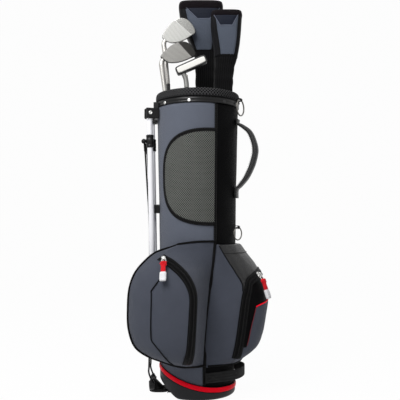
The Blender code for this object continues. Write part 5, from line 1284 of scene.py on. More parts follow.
def heelOf(name):
    # where a blade starts: on the shaft's line above the tip, then moved by its shift
    return clubLine(name)[2](clubLines[name]["tip"] + hoselShape["heelRise"]) + np.array(ironShapes[name]["shift"])


def makeIron(name, label, face):
    spec = ironShapes[name]
    toe, sole = bladeAxes(spec["tiltDeg"])
    half = spec["thick"] / 2
    outline = smoothCurve(bladeOutline, 132, closed=True)
    middle = outline.mean(axis=0)
    # layers of the outline, shrunk towards its middle: flat face, rounded rim, and a back with a cavity;
    # the back is thinner towards the top line
    faceScales = np.linspace(0.03, 0.955, 30)
    layers = [(s, half) for s in faceScales] + [(0.975, half - 0.0002), (0.990, half - 0.0008)]
    layers += [(s, half * d) for s, d in (
        (1.0, 0.72), (1.0, 0.2), (0.992, -0.1), (0.975, -0.45), (0.94, -0.78), (0.89, -0.97), (0.86, -1), (0.80, -1),
        (0.775, -0.96), (0.755, -0.80), (0.735, -0.50), (0.70, -0.42), (0.5, -0.42), (0.25, -0.42), (0.04, -0.42),
    )]
    scale, depth = np.array(layers).T
    shares = middle + (outline - middle)[None] * scale[:, None, None]
    u, w = shares[..., 0], shares[..., 1]
    thin = np.where(depth[:, None] < 0, 1 - 0.45 * np.clip((w - 0.15) / 0.6, 0, 1), 1)
    grid = heelOf(name) + toe * (u * spec["length"])[..., None] + sole * (w * spec["height"])[..., None]
    grid[..., 1] -= depth[:, None] * thin
    head = solid(f"{label}Head", grid, face, f"club_{name}", "steel", f"{name}_head")
    # the scored part of the face, as a mask for its finish
    soft = 0.02
    toeSide, heelSide = (sideOf(spec[line], u, w) / soft for line in ("toe", "heel"))
    mask = np.clip(0.5 - toeSide, 0, 1) * np.clip(0.5 + heelSide, 0, 1)
    mask[len(faceScales):] = 0
    values = np.zeros(len(head.data.vertices))
    values[: mask.size] = mask.ravel()
    head.data.attributes.new("score", "FLOAT", "POINT").data.foreach_set("value", values)


def makeHosel(name, label):
    # round steel neck over the shaft's tip, bending into the heel and flattening there, over a black ferrule
    along, at = clubLine(name)[1:]
    spec, heel = ironShapes[name], heelOf(name)
    toe, sole = bladeAxes(spec["tiltDeg"])
    heights = clubLines[name]["tip"] - spec["hosel"] * np.array([1.0, 0.7, 0.4, 0.15, 0.0])
    rows = [at(z) - np.array([bowAt(name, z), 0, 0]) for z in heights] + [heel - along * 0.004]
    rows += [heel + toe * a + sole * b for a, b in hoselShape["heel"]]
    path = smoothCurve(rows, 60)
    radius = np.interp(np.linspace(0, 1, len(path)), *np.array(hoselShape["radius"]).T)
    grid = carry(path, (0, -1, 0), circle(1.0, 24), scale=radius)
    solid(f"{label}Hosel", grid, ironSteel, f"club_{name}", "steel")
    ferrule = aimed(turned(hoselShape["ferrule"], 24), path[0], along)
    solid(f"{label}Ferrule", ferrule, putterBlack, f"club_{name}", "black_plastic")


for clubName, clubLabel in clubLabels.items():
    makeShaft(clubName, clubLabel)
for clubName, scored in (("iron_1", litIronFace), ("iron_2", shadedIronFace)):
    makeIron(clubName, clubLabels[clubName], scored)
    makeHosel(clubName, clubLabels[clubName])
print("irons made")

putterShape = {
    "length": 0.080, "height": 0.021, "depth": 0.022, "tiltDeg": 24.0, "heelShare": 0.26, "seat": 0.004,
    "rise": 0.006, "frame": 0.0030, "recess": 0.0012, "shift": (-0.0015, 0, 0.0035),
    # how far the neck's rows lie above the tip, and to the left of the shaft's line
    "neck": ((-0.034, 0), (-0.022, 0), (-0.010, 0.0012), (0, 0.0045)), "neckEnd": (0.008, 0.0075),
    "neckRadius": ((0, 0.0048), (0.04, 0.0060), (0.9, 0.0060), (1, 0.0058)),
    "sightHalf": 0.009, "sightR": 0.0007,
}


def makePutter():
    along, at = clubLine("putter")[1:]
    spec, tip, body = putterShape, clubLines["putter"]["tip"], "club_putter"
    (toe, up), near = bladeAxes(spec["tiltDeg"]), np.array([0, -1.0, 0])
    start = at(tip) + along * spec["rise"] + np.array(spec["shift"])
    middle = start + toe * spec["length"] * (0.5 - spec["heelShare"]) + up * (spec["height"] / 2 - spec["seat"])
    half, inset = spec["depth"] / 2, spec["frame"]
    sunk = half - spec["recess"]

    def ring(shrink, depth):
        # the head's outline, nearly square at its corners, drawn in by shrink
        plan = roundedBar(spec["length"] - shrink * 2, spec["height"] - shrink * 2, 96, 7.0)
        return middle + plan[:, :1] * toe + plan[:, 1:] * up + near * depth

    # frame round a sunk face, rounded sides, and a flat back
    rows = (
        (inset + 0.004, sunk), (inset + 0.0004, sunk), (inset, sunk + 0.0003), (inset - 0.0002, half - 0.0002),
        (inset - 0.0006, half), (0.0012, half), (0.0005, half - 0.0003), (0.0001, half - 0.0011), (0, half - 0.0022),
        (0, -half + 0.0030), (0.0004, -half + 0.0014), (0.0012, -half + 0.0005), (0.0026, -half), (0.0085, -half),
    )
    head = np.array([ring(*row) for row in rows])
    solid("putterHead", head, putterBlack, body, "dark_steel", "putter_head")
    rows = (
        (inset + 0.0003, sunk - 0.0002), (inset + 0.0003, half - 0.0006), (inset + 0.0006, half - 0.0003),
        (inset + 0.002, half - 0.0002), (inset + 0.0065, half - 0.0002),
    )
    solid("putterInsert", np.array([ring(*row) for row in rows]), insertFace, body, "white_tube")
    # sight line along the top
    reach = np.linspace(-spec["sightHalf"], spec["sightHalf"], 8)[:, None]
    line = middle + up * (spec["height"] / 2 + 0.0001) + toe * 0.002 + reach * near
    tube("putterSight", line, spec["sightR"], insertFace, body, "white_tube", up=up, count=8)
    # bent neck from the shaft into the heel
    left = np.array([-1.0, 0, 0])
    rows = [at(tip + rise) + left * shift for rise, shift in spec["neck"]]
    rows += [at(tip) + along * spec["neckEnd"][0] + left * spec["neckEnd"][1]]
    radius = np.interp(np.linspace(0, 1, 30), *np.array(spec["neckRadius"]).T)
    neck = carry(smoothCurve(rows, 30), (0, -1, 0), circle(1.0, 20), scale=radius)
    solid("putterNeck", neck, neckSteel, body, "dark_steel")


makePutter()
print("putter made")

# headcovers: rows are height, half width, half depth and shift along x from the shaft;
# a panel's sides are shares of the half width, a badge's are metres

coverShapes = {
    "driver": {
        "neck": 0.866, "power": 4.0,
        "rows": (
            (0.704, 0.0236, 0.0215, 0.0021), (0.780, 0.0248, 0.0220, 0.0023), (0.845, 0.0258, 0.0230, 0.0018),
            (0.868, 0.0284, 0.0250, 0.0000), (0.898, 0.0390, 0.0310, -0.004), (0.930, 0.0500, 0.0350, -0.0065),
            (0.958, 0.0560, 0.0360, -0.0070), (0.982, 0.0572, 0.0350, -0.0070), (0.991, 0.0560, 0.0325, -0.0070),
        ),
        "panel": {"z": (0.862, 0.900, 0.968), "left": (-0.74, -0.70, -0.72), "right": (0.74, 0.74, 0.78)},
        "badge": {"z": (0.9405, 0.9700), "left": (-0.0095, -0.0370), "right": (0.0215, 0.0480)},
    },
    "hybrid": {
        "neck": 0.829, "power": 4.0,
        "rows": (
            (0.704, 0.0220, 0.0205, -0.0006), (0.760, 0.0240, 0.0215, -0.0005), (0.805, 0.0250, 0.0220, 0.001),
            (0.828, 0.0285, 0.0230, 0.003), (0.842, 0.0305, 0.0245, 0.004), (0.870, 0.0345, 0.0275, 0.0035),
            (0.905, 0.0385, 0.0300, 0.0018), (0.930, 0.0386, 0.0300, 0.0018), (0.942, 0.0374, 0.0275, 0.0015),
        ),
        "panel": {"z": (0.830, 0.868, 0.926), "left": (-0.50, -0.60, -0.74), "right": (0.70, 0.74, 0.78)},
        "badge": {"z": (0.9015, 0.9280), "left": (-0.0155, -0.0310), "right": (0.0145, 0.0275)},
    },
}
# the soft crown: how far each ring is drawn in, and its lift above the last
crownRings = (
    (0.985, 0.0006), (0.96, 0.0009), (0.90, 0.0010), (0.75, 0.0008), (0.55, 0.0006), (0.35, 0.0004), (0.15, 0.0003),
    (0.03, 0.0003),
)


def coverAt(name, z):
    # half width, half depth and middle of a cover at a height
    rows = smoothCurve(coverShapes[name]["rows"], 240)
    wide, deep, shift = (np.interp(z, rows[:, 0], rows[:, k]) for k in (1, 2, 3))
    return wide, deep, clubLine(name)[2](z) + shift[..., None] * np.array([1.0, 0, 0])


def coverRings(name, heights, count=96, grow=0.0):
    # rounded rectangles, level, one at each height
    wide, deep, middle = coverAt(name, heights)
    plan = roundedBar(2.0, 2.0, count, coverShapes[name]["power"])
    x, y = plan[:, 0] * (wide + grow)[:, None], plan[:, 1] * (deep + grow)[:, None]
    return middle[:, None] + np.stack([x, y, np.zeros_like(x)], axis=-1)


def ringsOut(rings):
    # level direction from the middle of each ring
    return levelOut(rings - rings.mean(axis=1, keepdims=True))


def onCover(name, x, z, out):
    # a point on the cover's near face, x from its middle, lifted off the cloth
    wide, deep, middle = coverAt(name, z)
    power = coverShapes[name]["power"]
    share = np.clip(np.abs(x) / wide, 0, 0.995)
    y = -deep * (1 - share**power) ** (1 / power)
    slope = deep * (1 - share**power) ** (1 / power - 1) * share ** (power - 1) / wide * np.sign(x)
    normal = unit(np.stack([slope, -np.ones_like(x), 0 * x], axis=-1))
    return middle + np.stack([x, y, 0 * x], axis=-1) + normal * np.asarray(out)[..., None], normal


patchShape = {"sunk": 0.0008, "rim": 0.0028, "puff": 0.0009, "puffRim": 0.02}
sockShape = {"fold": 0.0005, "roll": 0.0011, "rollSize": 0.022, "wall": 0.0022}


def coverPatch(name, label, heights, lefts, rights, finish, lift, columns, rows):
    # cloth patch between two edge lines, its rim sunk into the cover beneath
    low, high = heights[0], heights[-1]
    z = np.linspace(low, high, rows)[:, None] * np.ones(columns)
    left, right = (np.interp(z[:, 0], heights, edge)[:, None] for edge in (lefts, rights))
    t = np.linspace(0, 1, columns)[None]
    x = left + (right - left) * t
    rim = np.minimum(np.minimum(t, 1 - t) * (right - left), np.minimum(z - low, high - z))
    sunk = patchShape["sunk"]
    out = -sunk + (lift + sunk) * np.clip(rim / patchShape["rim"], 0, 1) ** 0.5
    puff = patchShape["puff"] * np.clip(rim / patchShape["puffRim"], 0, 1)
    surface(label, onCover(name, x, z, out + puff)[0], finish, f"club_{name}")


def bell(share, at, width):
    # one at a place, falling away on both sides of it
    return np.exp(-(((share - at) / width) ** 2))


def makeCover(name):
    spec, clubBody = coverShapes[name], f"club_{name}"
    top = spec["rows"][-1][0]
    # body: rings up the cover, then rings drawn in over a soft crown
    body = coverRings(name, np.linspace(spec["neck"] - 0.002, top, 64))
    middle = body[-1].mean(axis=0)
    drawn, lift = np.array(crownRings).T[:, :, None, None]
    crown = middle + (body[-1] - middle)[None] * drawn + upright * lift
    foot = body[0] + (body[0].mean(axis=0) - body[0]) * 0.10
    roll = cloudNoise(body, 0.020, 3.0)[..., None] * 0.0007
    skin = np.concatenate([foot[None], body + ringsOut(body) * roll, crown])
    piece = surface(f"{name}Cover", skin, coverBlack, clubBody, True, caps=(False, True),
                    nodes=(f"{name}_cover",))
    # knitted sock, with soft folds that fade towards both ends, and a hem
    sock = coverRings(name, np.linspace(spec["rows"][0][0], spec["neck"] + 0.006, 110), 128)
    share = np.linspace(0, 1, 110)[:, None]
    folds = np.sin(share * 30 + 1.3 * np.sin(np.linspace(0, 2 * np.pi, 128))) * sockShape["fold"]
    folds = folds + cloudNoise(sock, sockShape["rollSize"], 1.0) * sockShape["roll"]
    folds = folds * np.sin(np.pi * share) ** 0.5
    hem = 0.0009 * bell(share, 0.965, 0.016) - 0.0006 * bell(share, 0.925, 0.012)
    sock = sock + ringsOut(sock) * (folds + hem)[..., None]
    addWall(surface(f"{name}Sock", sock, sockKnit, clubBody, True), sockShape["wall"])
    # grey panel, with piping and a row of stitches along both sides
    heights = np.array(spec["panel"]["z"])
    wide = coverAt(name, heights)[0]
    sides = [np.array(spec["panel"][side]) * wide for side in ("left", "right")]
    coverPatch(name, f"{name}Panel", heights, *sides, coverGrey, 0.0008, 48, 60)
    z = np.linspace(heights[0], heights[-1], 60)
    for label, edge, inwards in (("Left", sides[0], 0.004), ("Right", sides[1], -0.004)):
        x = np.interp(z, heights, edge)
        line = onCover(name, x, z, np.full(60, 0.0003))[0]
        tube(f"{name}Piping{label}", line, 0.0011, pipingCloth, clubBody, "black_cloth", up=(0, -1, 0))
        seam, normal = onCover(name, x + inwards, z, np.full(60, 0.0011))
        stitches(f"{name}Stitch{label}", seam[2:-2], normal[2:-2], clubBody, pitch=0.0034, length=0.0023, radius=0.0003)
    badge = spec["badge"]
    coverPatch(name, f"{name}Badge", badge["z"], badge["left"], badge["right"], badgeCloth, 0.0020, 48, 28)
    # piping down one slope of the badge, across its foot and up the other
    (low, high), (l0, l1), (r0, r1) = badge["z"], badge["left"], badge["right"]
    corners = np.array([(l1, high), (l0, low), (r0, low), (r1, high)])
    legs = [np.linspace(a, b, 24) for a, b in zip(corners[:-1], corners[1:])]
    route = np.concatenate([legs[0], legs[1][1:], legs[2][1:]])
    line = onCover(name, route[:, 0], route[:, 1], np.full(len(route), 0.0014))[0]
    tube(f"{name}BadgeEdge", line, 0.0009, badgeEdge, clubBody, "grey_cloth", up=(0, -1, 0), count=8)
    # woven band round the top, over the badge's head
    band = coverRings(name, np.linspace(high - 0.001, top - 0.0005, 14), 96, 0.0009)
    edge = np.sin(np.linspace(0, np.pi, 14)) ** 0.4 * 0.0012 - 0.0012
    band = band + ringsOut(band) * edge[:, None, None]
    surface(f"{name}Band", band, bandCloth, clubBody, True)


for coverName in coverShapes:
    makeCover(coverName)
    dress(f"{coverName}_head", darkSteel)
print("covers made")

# pockets: nets of rows from the bottom up, and columns from the near seam outwards;
# routes on a pocket are places in its net, by column and row

sidePocket = {
    # z, seam x, zip right (x, y), zip left (x, y), fold (x, y), edge (x, y), back x
    "rows": (
        (0.100, 0.015, (-0.022, -0.138), (-0.030, -0.143), (-0.052, -0.143), (-0.078, -0.122), -0.070),
        (0.112, 0.016, (-0.012, -0.166), (-0.028, -0.171), (-0.070, -0.165), (-0.111, -0.130), -0.103),
        (0.135, 0.017, (-0.006, -0.183), (-0.024, -0.188), (-0.088, -0.180), (-0.141, -0.134), -0.132),
        (0.175, 0.020, (-0.004, -0.190), (-0.022, -0.195), (-0.096, -0.187), (-0.155, -0.137), -0.145),
        (0.220, 0.024, (-0.003, -0.191), (-0.021, -0.196), (-0.099, -0.188), (-0.157, -0.137), -0.147),
        (0.265, 0.029, (-0.004, -0.187), (-0.023, -0.193), (-0.097, -0.184), (-0.154, -0.135), -0.144),
        (0.300, 0.034, (-0.020, -0.175), (-0.040, -0.181), (-0.093, -0.174), (-0.142, -0.130), -0.132),
        (0.328, 0.038, (-0.045, -0.155), (-0.062, -0.159), (-0.091, -0.152), (-0.119, -0.121), -0.109),
        (0.348, 0.041, (-0.064, -0.131), (-0.075, -0.131), (-0.085, -0.124), (-0.094, -0.109), -0.087),
        (0.364, 0.043, (-0.038, -0.107), (-0.045, -0.106), (-0.052, -0.101), (-0.057, -0.093), -0.055),
    ),
    # of the last two rows, from the seam outwards
    "topRise": (
        (0.004, 0.003, 0, 0, 0, -0.001, -0.001, 0),
        (0.0105, 0.0078, 0.0030, 0.0004, -0.0028, -0.0050, -0.0050, -0.0040),
    ),
    # of the first two rows, from the seam outwards
    "footDrop": ((0.0190, 0.0160, 0.0110, 0.0100, 0.0060), (0.0090, 0.0070, 0.0045, 0.0040, 0.0020)),
    "backY": -0.0715, "backColumn": 5.2,
    "zip": (
        (3.62, 7.40), (3.39, 7.27), (2.98, 6.85), (2.66, 6.37), (2.48, 5.83),
        (2.45, 5.13), (2.41, 4.41), (2.46, 3.6), (2.56, 2.25), (2.58, 0.62),
    ),
    "line": (
        (3.76, 5.83), (3.84, 5.62), (3.96, 5.29), (4.05, 5.04), (4.065, 4.95), (4.05, 4.84), (4.03, 4.32), (4.04, 3.69),
        (4.09, 2.88), (4.105, 2.68), (4.085, 2.52), (4.0, 2.29), (3.9, 1.91), (3.87, 1.3), (3.9, 0.75), (3.9, 0.3),
    ),
    "outline": (
        (0.05, 8.86), (1.0, 8.94), (2.0, 8.93), (3.0, 8.9), (4.0, 8.86), (4.72, 8.7), (5.0, 8.1), (5.0, 7.0),
        (5.0, 5.5), (5.0, 4.0), (5.0, 2.5), (5.0, 1.3), (4.9, 0.5), (4.45, 0.12), (3.6, 0.06), (2.2, 0.05),
        (1.0, 0.05), (0.05, 0.06),
    ),
    "pullAt": (3.43, 6.993), "hinge": (-0.074552, -0.16488, 0.334668),
    "hingeSide": (-0.992983, 0.095405, -0.069878), "down": (0.0031, -0.5696, -0.8219), "plump": 1.0,
}
ballPocket = {
    # z, seam x, zip inner (x, y), zip outer (x, y), front corner (x, y), front x
    "rows": (
        (0.084, 0.0215, (0.070, -0.074), (0.084, -0.070), (0.100, -0.046), 0.108),
        (0.098, 0.020, (0.080, -0.088), (0.096, -0.083), (0.118, -0.056), 0.130),
        (0.118, 0.018, (0.085, -0.093), (0.104, -0.087), (0.136, -0.062), 0.152),
        (0.145, 0.019, (0.090, -0.095), (0.111, -0.089), (0.147, -0.064), 0.162),
        (0.190, 0.023, (0.096, -0.097), (0.119, -0.091), (0.157, -0.066), 0.171),
        (0.235, 0.028, (0.102, -0.097), (0.125, -0.091), (0.161, -0.066), 0.175),
        (0.268, 0.032, (0.106, -0.096), (0.125, -0.088), (0.155, -0.060), 0.168),
        (0.300, 0.036, (0.088, -0.094), (0.112, -0.082), (0.138, -0.052), 0.153),
        (0.334, 0.040, (0.066, -0.093), (0.088, -0.081), (0.113, -0.052), 0.129),
        (0.362, 0.044, (0.051, -0.091), (0.066, -0.083), (0.090, -0.056), 0.108),
    ),
    # of the first two rows, at the seam and the zip's two edges
    "footDrop": ((0.0050, 0.0035, 0.0020), (0.0024, 0.0016, 0.0008)),
    "zip": (
        (1.52, 1.05), (1.46, 1.8), (1.40, 3.0), (1.36, 4.0), (1.36, 4.9), (1.46, 5.6),
        (1.80, 6.12), (2.38, 6.46), (3.1, 6.74), (4.0, 6.88),
    ),
    "gussetEdge": ((0.98, 8.95), (1.02, 8.1), (1.01, 7.3), (1.0, 6.4), (0.98, 5.6)),
    "chevron": ((2.40, 4.60), (2.70, 4.72), (3.17, 4.81), (4.0, 5.0)),
    "redLine": ((2.40, 4.57), (2.35, 4.16), (2.31, 3.76), (2.29, 3.35), (2.3, 2.79), (2.3, 2.4)),
    "pullAt": (2.84, 6.52), "hinge": (0.150393, -0.0664, 0.289602),
    "hingeSide": (-0.591735, -0.806069, -0.010183), "down": (0.2725, -0.1882, -0.9436), "plump": 1.35,
}
zipShape = {
    "width": 0.0215, "lift": 0.0016, "toothPitch": 0.0026, "toothWide": 0.0034, "tooth": 0.00085, "stagger": 0.0006,
    # half of the tape's section, from its edge inwards: share of the half width, and of the lift
    "section": (
        (-1.0, -0.6), (-0.99, 0.6), (-0.95, 1.35), (-0.88, 1.45), (-0.82, 1.0), (-0.55, 1.1), (-0.24, 1.3), (-0.2, 0.9),
    ),
}
pullShape = {
    "lift": 0.0036,  # of its middle above the hinge's plane
    "slider": (0.55, 0.86, 0.95, 0.86, 0.78, 0.86, 1.0, 0.9, 0.6), "sliderWide": 0.0108, "sliderThick": 0.0034,
    "loopLong": 0.0066, "loopHalf": 0.0050, "loopWire": 0.00115,
    # distance down, width and thickness
    "knot": (
        (0.0085, 0.006, 0.0030), (0.0092, 0.0105, 0.0050), (0.0112, 0.0140, 0.0064), (0.0150, 0.0146, 0.0070),
        (0.0180, 0.0132, 0.0066), (0.0205, 0.0108, 0.0056), (0.0240, 0.0104, 0.0052), (0.0320, 0.0110, 0.0054),
        (0.0372, 0.0112, 0.0054), (0.0384, 0.0100, 0.0046),
    ),
    "tip": (
        (0.0362, 0.0118, 0.0050), (0.0370, 0.0142, 0.0063), (0.0388, 0.0150, 0.0068), (0.0440, 0.0153, 0.0069),
        (0.0520, 0.0153, 0.0069), (0.0562, 0.0148, 0.0066), (0.0575, 0.0136, 0.0058), (0.0580, 0.0108, 0.0042),
    ),
    "ribs": (0.0430, 0.0475, 0.0520),
    # the knot's strands: place and slant
    "strands": ((0.0128, 0.0016), (0.0166, -0.0016)), "strandR": 0.0013,
}
# the skin's soft roll and its finer puckers, its thickness, and the round of its foot and top
skinShape = {"roll": 0.0011, "rollSize": 0.04, "pucker": 0.0004, "puckerSize": 0.013, "wall": 0.0016, "tuck": 0.0021}
# how far each row of a pocket's foot and top has gone to the tube
tuckShares = np.array([0.02, 0.06, 0.14, 0.3, 0.55, 0.8, 1.0])[:, None, None]


def netParts(rows):
    # heights, the seam's points on the tube, the pairs of each row, and its last number
    z, seamX, last = (np.array([row[k] for row in rows]) for k in (0, 1, -1))
    seam = np.stack([seamX, -np.sqrt(bodyRadius(z) ** 2 - seamX**2) - 0.001], axis=-1)
    return z, seam[:, None], np.array([row[2:-1] for row in rows]), last


def sideNet():
    # rows of points: the seam, half way to the zip, the row's own pairs, the back and the rear inside the tube
    z, seam, pairs, backX = netParts(sidePocket["rows"])
    backY = sidePocket["backY"]
    rearX = np.maximum(backX, -np.sqrt(bodyRadius(z) ** 2 - backY**2) * 0.8)
    back, rear = (np.stack([x, np.full(len(z), backY)], axis=-1)[:, None] for x in (backX, rearX))
    flat = np.concatenate([seam, (seam + pairs[:, :1]) / 2, pairs, back, rear], axis=1)
    height = np.repeat(z[:, None], flat.shape[1], axis=1)
    height[-2:] += sidePocket["topRise"]
    height[:2, :5] -= sidePocket["footDrop"]
    return np.concatenate([flat, height[..., None]], axis=-1)


def ballNet():
    # rows of points: the seam, the row's own pairs, the front, then the same again mirrored
    z, seam, pairs, frontX = netParts(ballPocket["rows"])
    front = np.stack([frontX, np.zeros(len(z))], axis=-1)[:, None]
    half = np.concatenate([seam, pairs], axis=1)
    flat = np.concatenate([half, front, half[:, ::-1] * np.array([1, -1])], axis=1)
    height = np.repeat(z[:, None], flat.shape[1], axis=1)
    drop = np.array(ballPocket["footDrop"])
    height[:2, :3] -= drop
    height[:2, -3:] -= drop[:, ::-1]
    return np.concatenate([flat, height[..., None]], axis=-1)


def farSide(route):
    # the same places on the far half of the ball pocket
    return [(8 - column, row) for column, row in route]


def acrossFront(route):
    # a near route that ends in the middle of the ball pocket, carried on over its far half
    return (*route, *farSide(route[-2::-1]))


def tucked(grid):
    # rows that carry the lowest and highest row on, rounded, to the tube and just inside it
    ends = []
    for row, way in ((grid[0], -1), (grid[-1], 1)):
        level = np.linalg.norm(row[:, :2], axis=1, keepdims=True)
        inside = row.copy()
        inside[:, :2] *= np.minimum(level * 0.985, bodyRadius(row[:, 2:]) - 0.005) / level
        rows = row + (inside - row) * tuckShares
        rows[..., 2] += way * skinShape["tuck"] * np.sin(np.pi * np.minimum(tuckShares[..., 0] * 1.6, 1))
        ends.append(rows)
    return np.concatenate([ends[0][::-1], grid, ends[1]])


def pocketSkin(name, net, columns, rows, out, paint, finishes, node):
    # the net's surface, with a soft swell between its seams, carried on to the tube at its foot and top
    here, _, _, normal = netFrame(net, columns[None], rows[:, None], out)
    held = np.clip(np.minimum(rows, rows[-1] - rows) * 1.5, 0, 1)[:, None]
    swell = skinShape["roll"] * (cloudNoise(here, skinShape["rollSize"], 3.0) - 0.6)
    swell = swell + skinShape["pucker"] * cloudNoise(here, skinShape["puckerSize"], 7.0)
    grid = tucked(here + normal * (swell * held)[..., None])
    piece = surface(name, grid, finishes[0], "bag", nodes=(node,), flip=out < 0)
    for finish in finishes[1:]:
        piece.data.materials.append(finish)
    kind = paint(((columns[:-1] + columns[1:]) / 2)[None], ((rows[:-1] + rows[1:]) / 2)[:, None])
    kind = np.pad(kind, ((len(tuckShares),) * 2, (0, 0)), mode="edge")
    if out < 0:
        kind = kind[:, ::-1]
    piece.data.polygons.foreach_set("material_index", kind.ravel().astype(np.int32))
    addWall(piece, skinShape["wall"])


def onSkin(net, route, count, out, lift=0.0):
    # a smooth path through (column, row) places, lifted off the skin
    places = smoothCurve(route, count)
    here, _, _, normal = netFrame(net, places[:, 0], places[:, 1], out)
    return here + normal * lift, normal


def stripOn(net, route, count, offsets, lifts, out):
    # a band along a route: each place is moved sideways over the skin by each offset, then lifted
    places = smoothCurve(route, count)
    _, byColumn, byRow, normal = netFrame(net, places[:, 0], places[:, 1], out)
    ahead = np.gradient(places, axis=0)
    along = byColumn * ahead[:, :1] + byRow * ahead[:, 1:]
    across = unit(np.cross(normal, along))
    moved = np.stack([skinWalk(net, places, across * offset, out) for offset in offsets], axis=1)
    point, _, _, skinNormal = netFrame(net, moved[..., 0], moved[..., 1], out)
    return point + skinNormal * np.asarray(lifts)[None, :, None], unit(along), across, normal


def skinWalk(net, places, way, out, steps=6):
    # the places reached by going that way over the skin in short steps, each solved from the local slopes
    for _ in range(steps):
        slope = np.stack(netFrame(net, places[:, 0], places[:, 1], out)[1:3], axis=1)
        wanted = slope @ way[..., None] / steps
        places = places + np.linalg.solve(slope @ slope.swapaxes(1, 2), wanted)[..., 0]
    return places


def makeZip(name, net, route, count, out, node):
    # the tape's profile runs from edge to edge: a rolled edge, a flat, then a channel for the teeth, and back
    left = zipShape["section"]
    section = np.array([*left, *[(-a, b) for a, b in left[::-1]]]) * (zipShape["width"] / 2, zipShape["lift"])
    strip, along, across, normal = stripOn(net, route, count, *section.T, out)
    surface(f"{name}ZipTape", strip, tapeCloth, "bag", nodes=(node,), flip=True)
    middle = (strip[:, 7] + strip[:, 8]) / 2
    run = runOf(middle)
    at = np.arange(0.004, run[-1] - 0.004, zipShape["toothPitch"])
    centre = atRun(middle, run, at)
    side, up, way = (unit(atRun(values, run, at)) for values in (across, normal, along))
    # a tooth: a rounded bar across the tape, set alternately left and right
    ends = np.array([-1, -0.75, 0.75, 1.0])[None, :, None] * zipShape["toothWide"] / 2
    left = (np.where(np.arange(len(at)) % 2, 1, -1) * zipShape["stagger"])[:, None, None]
    thick = np.array([0.45, 1, 1, 0.45])[None, :, None, None] * zipShape["tooth"]
    ring = circle(1.0, 6)[None, None]
    spine = centre[:, None] + side[:, None] * (ends + left) + up[:, None] * 0.0005
    grids = spine[:, :, None] + thick * (ring[..., :1] * way[:, None, None] + ring[..., 1:] * up[:, None, None])
    manyPieces(f"{name}ZipTeeth", grids[:, :, ::-1], blackPlastic, "bag")
    for edge, outer, inner in (("A", 4, 5), ("B", 11, 10)):
        seam = strip[:, outer] * 0.7 + strip[:, inner] * 0.3
        stitches(f"{name}ZipStitch{edge}", seam, normal)


def barAlong(origin, way, side, out, stations):
    # rounded rectangles of changing width and thickness set along a straight way
    at, wide, thick = np.asarray(stations, float).T[:, :, None, None]
    ring = roundedBar(1.0, 1.0)[None]
    return np.asarray(origin) + at * way + ring[..., :1] * wide * side + ring[..., 1:] * thick * out


def makeSlider(name, spec, net, out):
    # waisted metal body on the tape with a raised bridge
    hinge = np.array(spec["hinge"])
    _, _, byRow, normal = (v[0] for v in netFrame(net, *np.array(spec["pullAt"])[:, None], out))
    slope = unit(-byRow)
    level = np.cross(slope, normal)
    wide, thick = pullShape["sliderWide"] * np.array(pullShape["slider"]), pullShape["sliderThick"]
    stations = np.column_stack([np.linspace(-0.0112, 0.0028, 9), wide, np.full(9, thick)])
    slider = barAlong(hinge - normal * thick, slope, level, normal, stations)
    solid(f"{name}ZipSlider", slider, steel, "bag", "steel", f"{name}_zip_slider")
    arch = np.linspace(0, np.pi, 13)[:, None]
    bridge = hinge - normal * 0.0022 + slope * (-0.0028 - 0.0058 * np.cos(arch)) + normal * (0.0052 * np.sin(arch))
    solid(f"{name}ZipBridge", carry(bridge, level, roundedBar(0.0016, 0.0040, 12)), steel, "bag", "steel")


def makePull(name, spec, body):
    # a wire loop, a knotted red tab and a pale moulded tip
    side, down = unit(np.array(spec["hingeSide"])), unit(np.array(spec["down"]))
    face, hinge = np.cross(side, down), np.array(spec["hinge"])
    middle, plump = hinge + face * pullShape["lift"], face * spec["plump"]
    turnBy, wrap = fullTurn(32)[:, None], fullTurn(40)[:, None]
    long, half = pullShape["loopLong"], pullShape["loopHalf"]
    loop = hinge + down * (long - long * np.cos(turnBy)) + side * (half * np.sin(turnBy))
    loop = loop + face * (pullShape["lift"] * (0.5 - 0.5 * np.cos(turnBy)))
    tube(f"{name}PullLoop", loop, pullShape["loopWire"], steel, body, "steel", closed=True, up=face, count=8)
    tab = barAlong(middle, down, side, plump, pullShape["knot"])
    solid(f"{name}PullTab", tab, redCloth, body, "red_trim", f"{name}_zip_pull")
    for k, (place, slant) in enumerate(pullShape["strands"]):
        # a strand of the knot, round the tab on a slant
        strand = middle + side * (0.0071 * np.cos(wrap)) + plump * (0.0034 * np.sin(wrap))
        strand = strand + down * (place + slant * np.cos(wrap))
        tube(f"{name}PullStrand{k}", strand, pullShape["strandR"], redCloth, body, "red_trim",
             closed=True, up=down, count=8)
    for k, way in enumerate((-1, 1)):
        seam = middle + down * np.array([0.0220, 0.0290, 0.0360])[:, None] + way * side * 0.0038 + plump * 0.0027
        stitches(f"{name}PullStitch{k}", smoothCurve(seam, 12), face, body, redCloth,
                 pitch=0.0026, length=0.0017, radius=0.0003)
    tip = barAlong(middle, down, side, plump, pullShape["tip"])
    solid(f"{name}PullTip", tip, paleRubber, body, "red_trim")
    across = side * np.array([-0.0054, -0.002, 0.002, 0.0054])[:, None]
    for k, place in enumerate(pullShape["ribs"]):
        bar = middle + plump * 0.0034 + down * place + across
        tube(f"{name}PullRib{k}", bar, 0.0006, paleRubber, body, "red_trim", up=face, count=6)


def paintSide(column, row):
    # grey cloth round to the back edge, black behind it
    return np.zeros(np.broadcast(column, row).shape, int) + (column > sidePocket["backColumn"])


